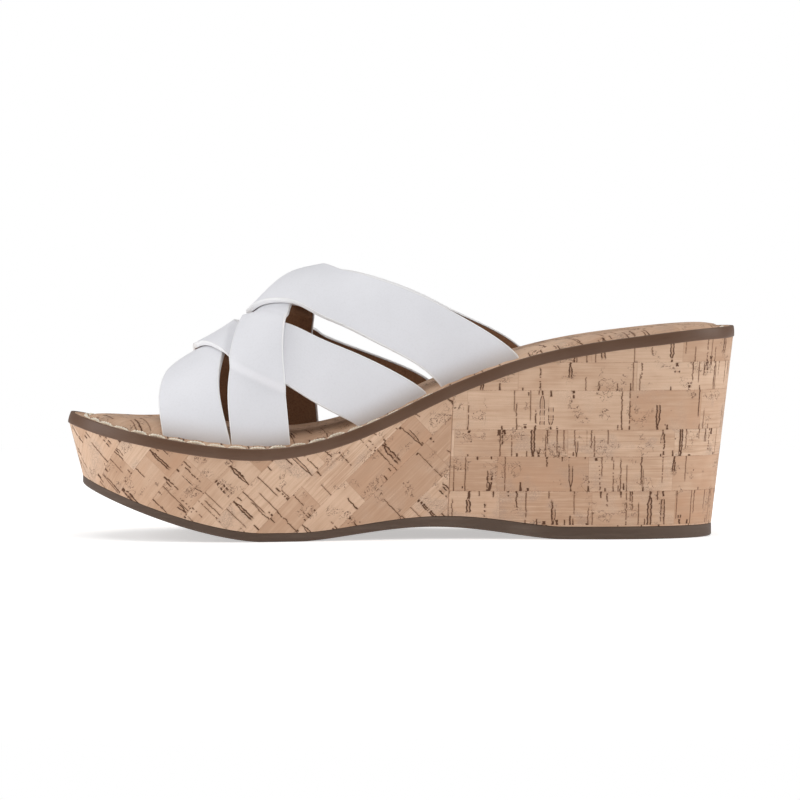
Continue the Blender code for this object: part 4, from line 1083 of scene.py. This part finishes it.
leather, shader, start = new_material("white_leather", LEATHER_COLOUR, 0.5, shine=0.45)
place = start.place()
high = start.add("Attribute", {"attribute_name": "above_rim"}, (), "Fac")
u, v, _ = start.add("UVMap", {"uv_map": "strap"}).parts()
grains = start.cells(place, 1700.0, feature="SMOOTH_F1")
fine = start.noise(place, 3500, 3, 0.6)
folds = start.noise(start.point(u * 26, v * 3, 0.0), 1, 3, 0.55)
tonal = start.noise(place, 34, 3, 0.55)
# Browner and darker towards the straps' ends, fading out between about 1 and 9.5 mm above the rim, unevenly.
near_rim_tint = (1 - (high * 1000 + 5 * (tonal - 0.5)).step(1.0, 9.5)) * (0.5 + 0.5 * tonal)
from_edge = 0.5 - (v - 0.5).size()
edge_shade = from_edge.step(0.030, 0.010)
# Painted shade: a thin grey line along the crease where the top face rounds into each edge.
crease_shade = 1 - (from_edge - 0.026).size().step(0.002, 0.010)
colour = tonal.step(0.3, 0.7).tint(LEATHER_COLOUR, tuple(c * 0.955 for c in LEATHER_COLOUR))
colour = (grains.step(0.35, 0.75) * 0.10).tint(colour, (0.60, 0.59, 0.60))
colour = (near_rim_tint * 0.48).tint(colour, LEATHER_NEAR_RIM_COLOUR)
colour = (edge_shade * 0.5).tint(colour, LEATHER_EDGE_COLOUR)
colour = (crease_shade * 0.16).tint(colour, (0.50, 0.48, 0.47))
height = 0.5 - 0.45 * grains + 0.25 * fine + 0.5 * folds
finish_with(
    start, shader, Base_Color=colour, Roughness=0.44 + 0.12 * fine, Normal=relief(start, height, 0.00010, 0.35),
)

lining, shader, start = new_material("brown_lining", LINING_COLOUR, 0.75)
place = start.place()
nap = start.noise(place, 1500, 4, 0.65)
patchy = start.noise(place, 60, 3)
colour = (nap.step(0.35, 0.7) * 0.6 + patchy.step(0.4, 0.7) * 0.3).tint(LINING_COLOUR, LINING_DARK)
finish_with(
    start, shader, Base_Color=colour, Roughness=0.66 + 0.2 * nap, Normal=relief(start, nap, 0.00012, 0.6),
)
shader.inputs["Sheen Weight"].default_value = 0.15

leather_from = LINING_THICKNESS + STRAP_LAYER_GAP
lining_profile = strap_profile(LINING_THICKNESS, LINING_ROUND, LINING_SHORT, 0.0, 16)
leather_profile = strap_profile(LEATHER_THICKNESS, LEATHER_ROUND, 0.0, leather_from, 24)
for number in STRAPS:
    inside = strap_layer(f"strap_{number}_brown_lining", number, 0.0, lining_profile, lining)
    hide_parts(f"strap_{number}_lining")
    outside = strap_layer(f"strap_{number}_white_leather", number, leather_from, leather_profile, leather)
    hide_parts(f"strap_{number}_leather")

# ---------------------------------------------------------------------------- inside the wedge
# The pressed cork core, the fibreboard insole, its cork filler, and the steel shank with its
# rivets and the heel nails stay as they were packed, and take the finish of the real stuff.


def granules(name, dark, light, scale):
    made, shader, start = new_material(name, light, 0.85)
    place = start.place()
    bits = start.cells(place, scale, 1).parts()[0]
    gaps = start.cells(place, scale, feature="DISTANCE_TO_EDGE")
    fine = start.noise(place, scale * 6, 2)
    share = 0.7 * bits + 0.3 * fine
    colour = gaps.step(0.0, 0.08).tint(tuple(c * 0.5 for c in dark), share.tint(dark, light))
    finish_with(start, shader, Base_Color=colour, Normal=relief(start, gaps.step(0.0, 0.2), 0.0004, 0.6))
    return made


def steel(name, colour, roughness):
    made, shader, start = new_material(name, colour, roughness, 1.0)
    place = start.place()
    x, y, z = place.parts()
    drawn = start.noise(start.point(x * 200, y * 2500, z * 2500), 1, 3)
    spots = start.noise(place, 300, 2)
    shade = drawn.tint(colour, tuple(c * 0.8 for c in colour))
    finish_with(
        start, shader, Base_Color=shade, Roughness=roughness + 0.25 * (spots - 0.5),
        Normal=relief(start, drawn, 0.00003, 0.4),
    )
    return made


board, shader, start = new_material("fibre_board", (0.36, 0.25, 0.15), 0.88)
place = start.place()
x, y, z = place.parts()
fibres = start.noise(start.point(x * 900, y * 260, z * 900), 1, 4, 0.7)
flecks = start.noise(place, 700, 2).step(0.6, 0.72)
colour = flecks.tint(fibres.tint((0.28, 0.185, 0.105), (0.45, 0.33, 0.21)), (0.17, 0.10, 0.06))
finish_with(start, shader, Base_Color=colour, Normal=relief(start, fibres, 0.0001, 0.5))

INNER_FINISHES = {
    "wedge_core": granules("pressed_cork", (0.30, 0.175, 0.10), (0.56, 0.39, 0.25), 330.0),
    "bottom_filler": granules("cork_filler", (0.22, 0.13, 0.08), (0.44, 0.31, 0.20), 600.0),
    "insole_board": board,
    "shank": steel("shank_steel", (0.50, 0.51, 0.53), 0.36),
}
rivet_steel = steel("rivet_steel", (0.62, 0.62, 0.64), 0.28)
for end in ("front", "rear"):
    INNER_FINISHES["shank_rivet_" + end] = rivet_steel
nail_steel = steel("nail_steel", (0.44, 0.43, 0.42), 0.42)
for count in range(1, 6):
    INNER_FINISHES[f"heel_nail_{count}"] = nail_steel
for node, finish in INNER_FINISHES.items():
    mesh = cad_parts[node].data
    if not mesh.materials:
        mesh.materials.append(finish)
    for index in range(len(mesh.materials)):
        mesh.materials[index] = finish

low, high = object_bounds()
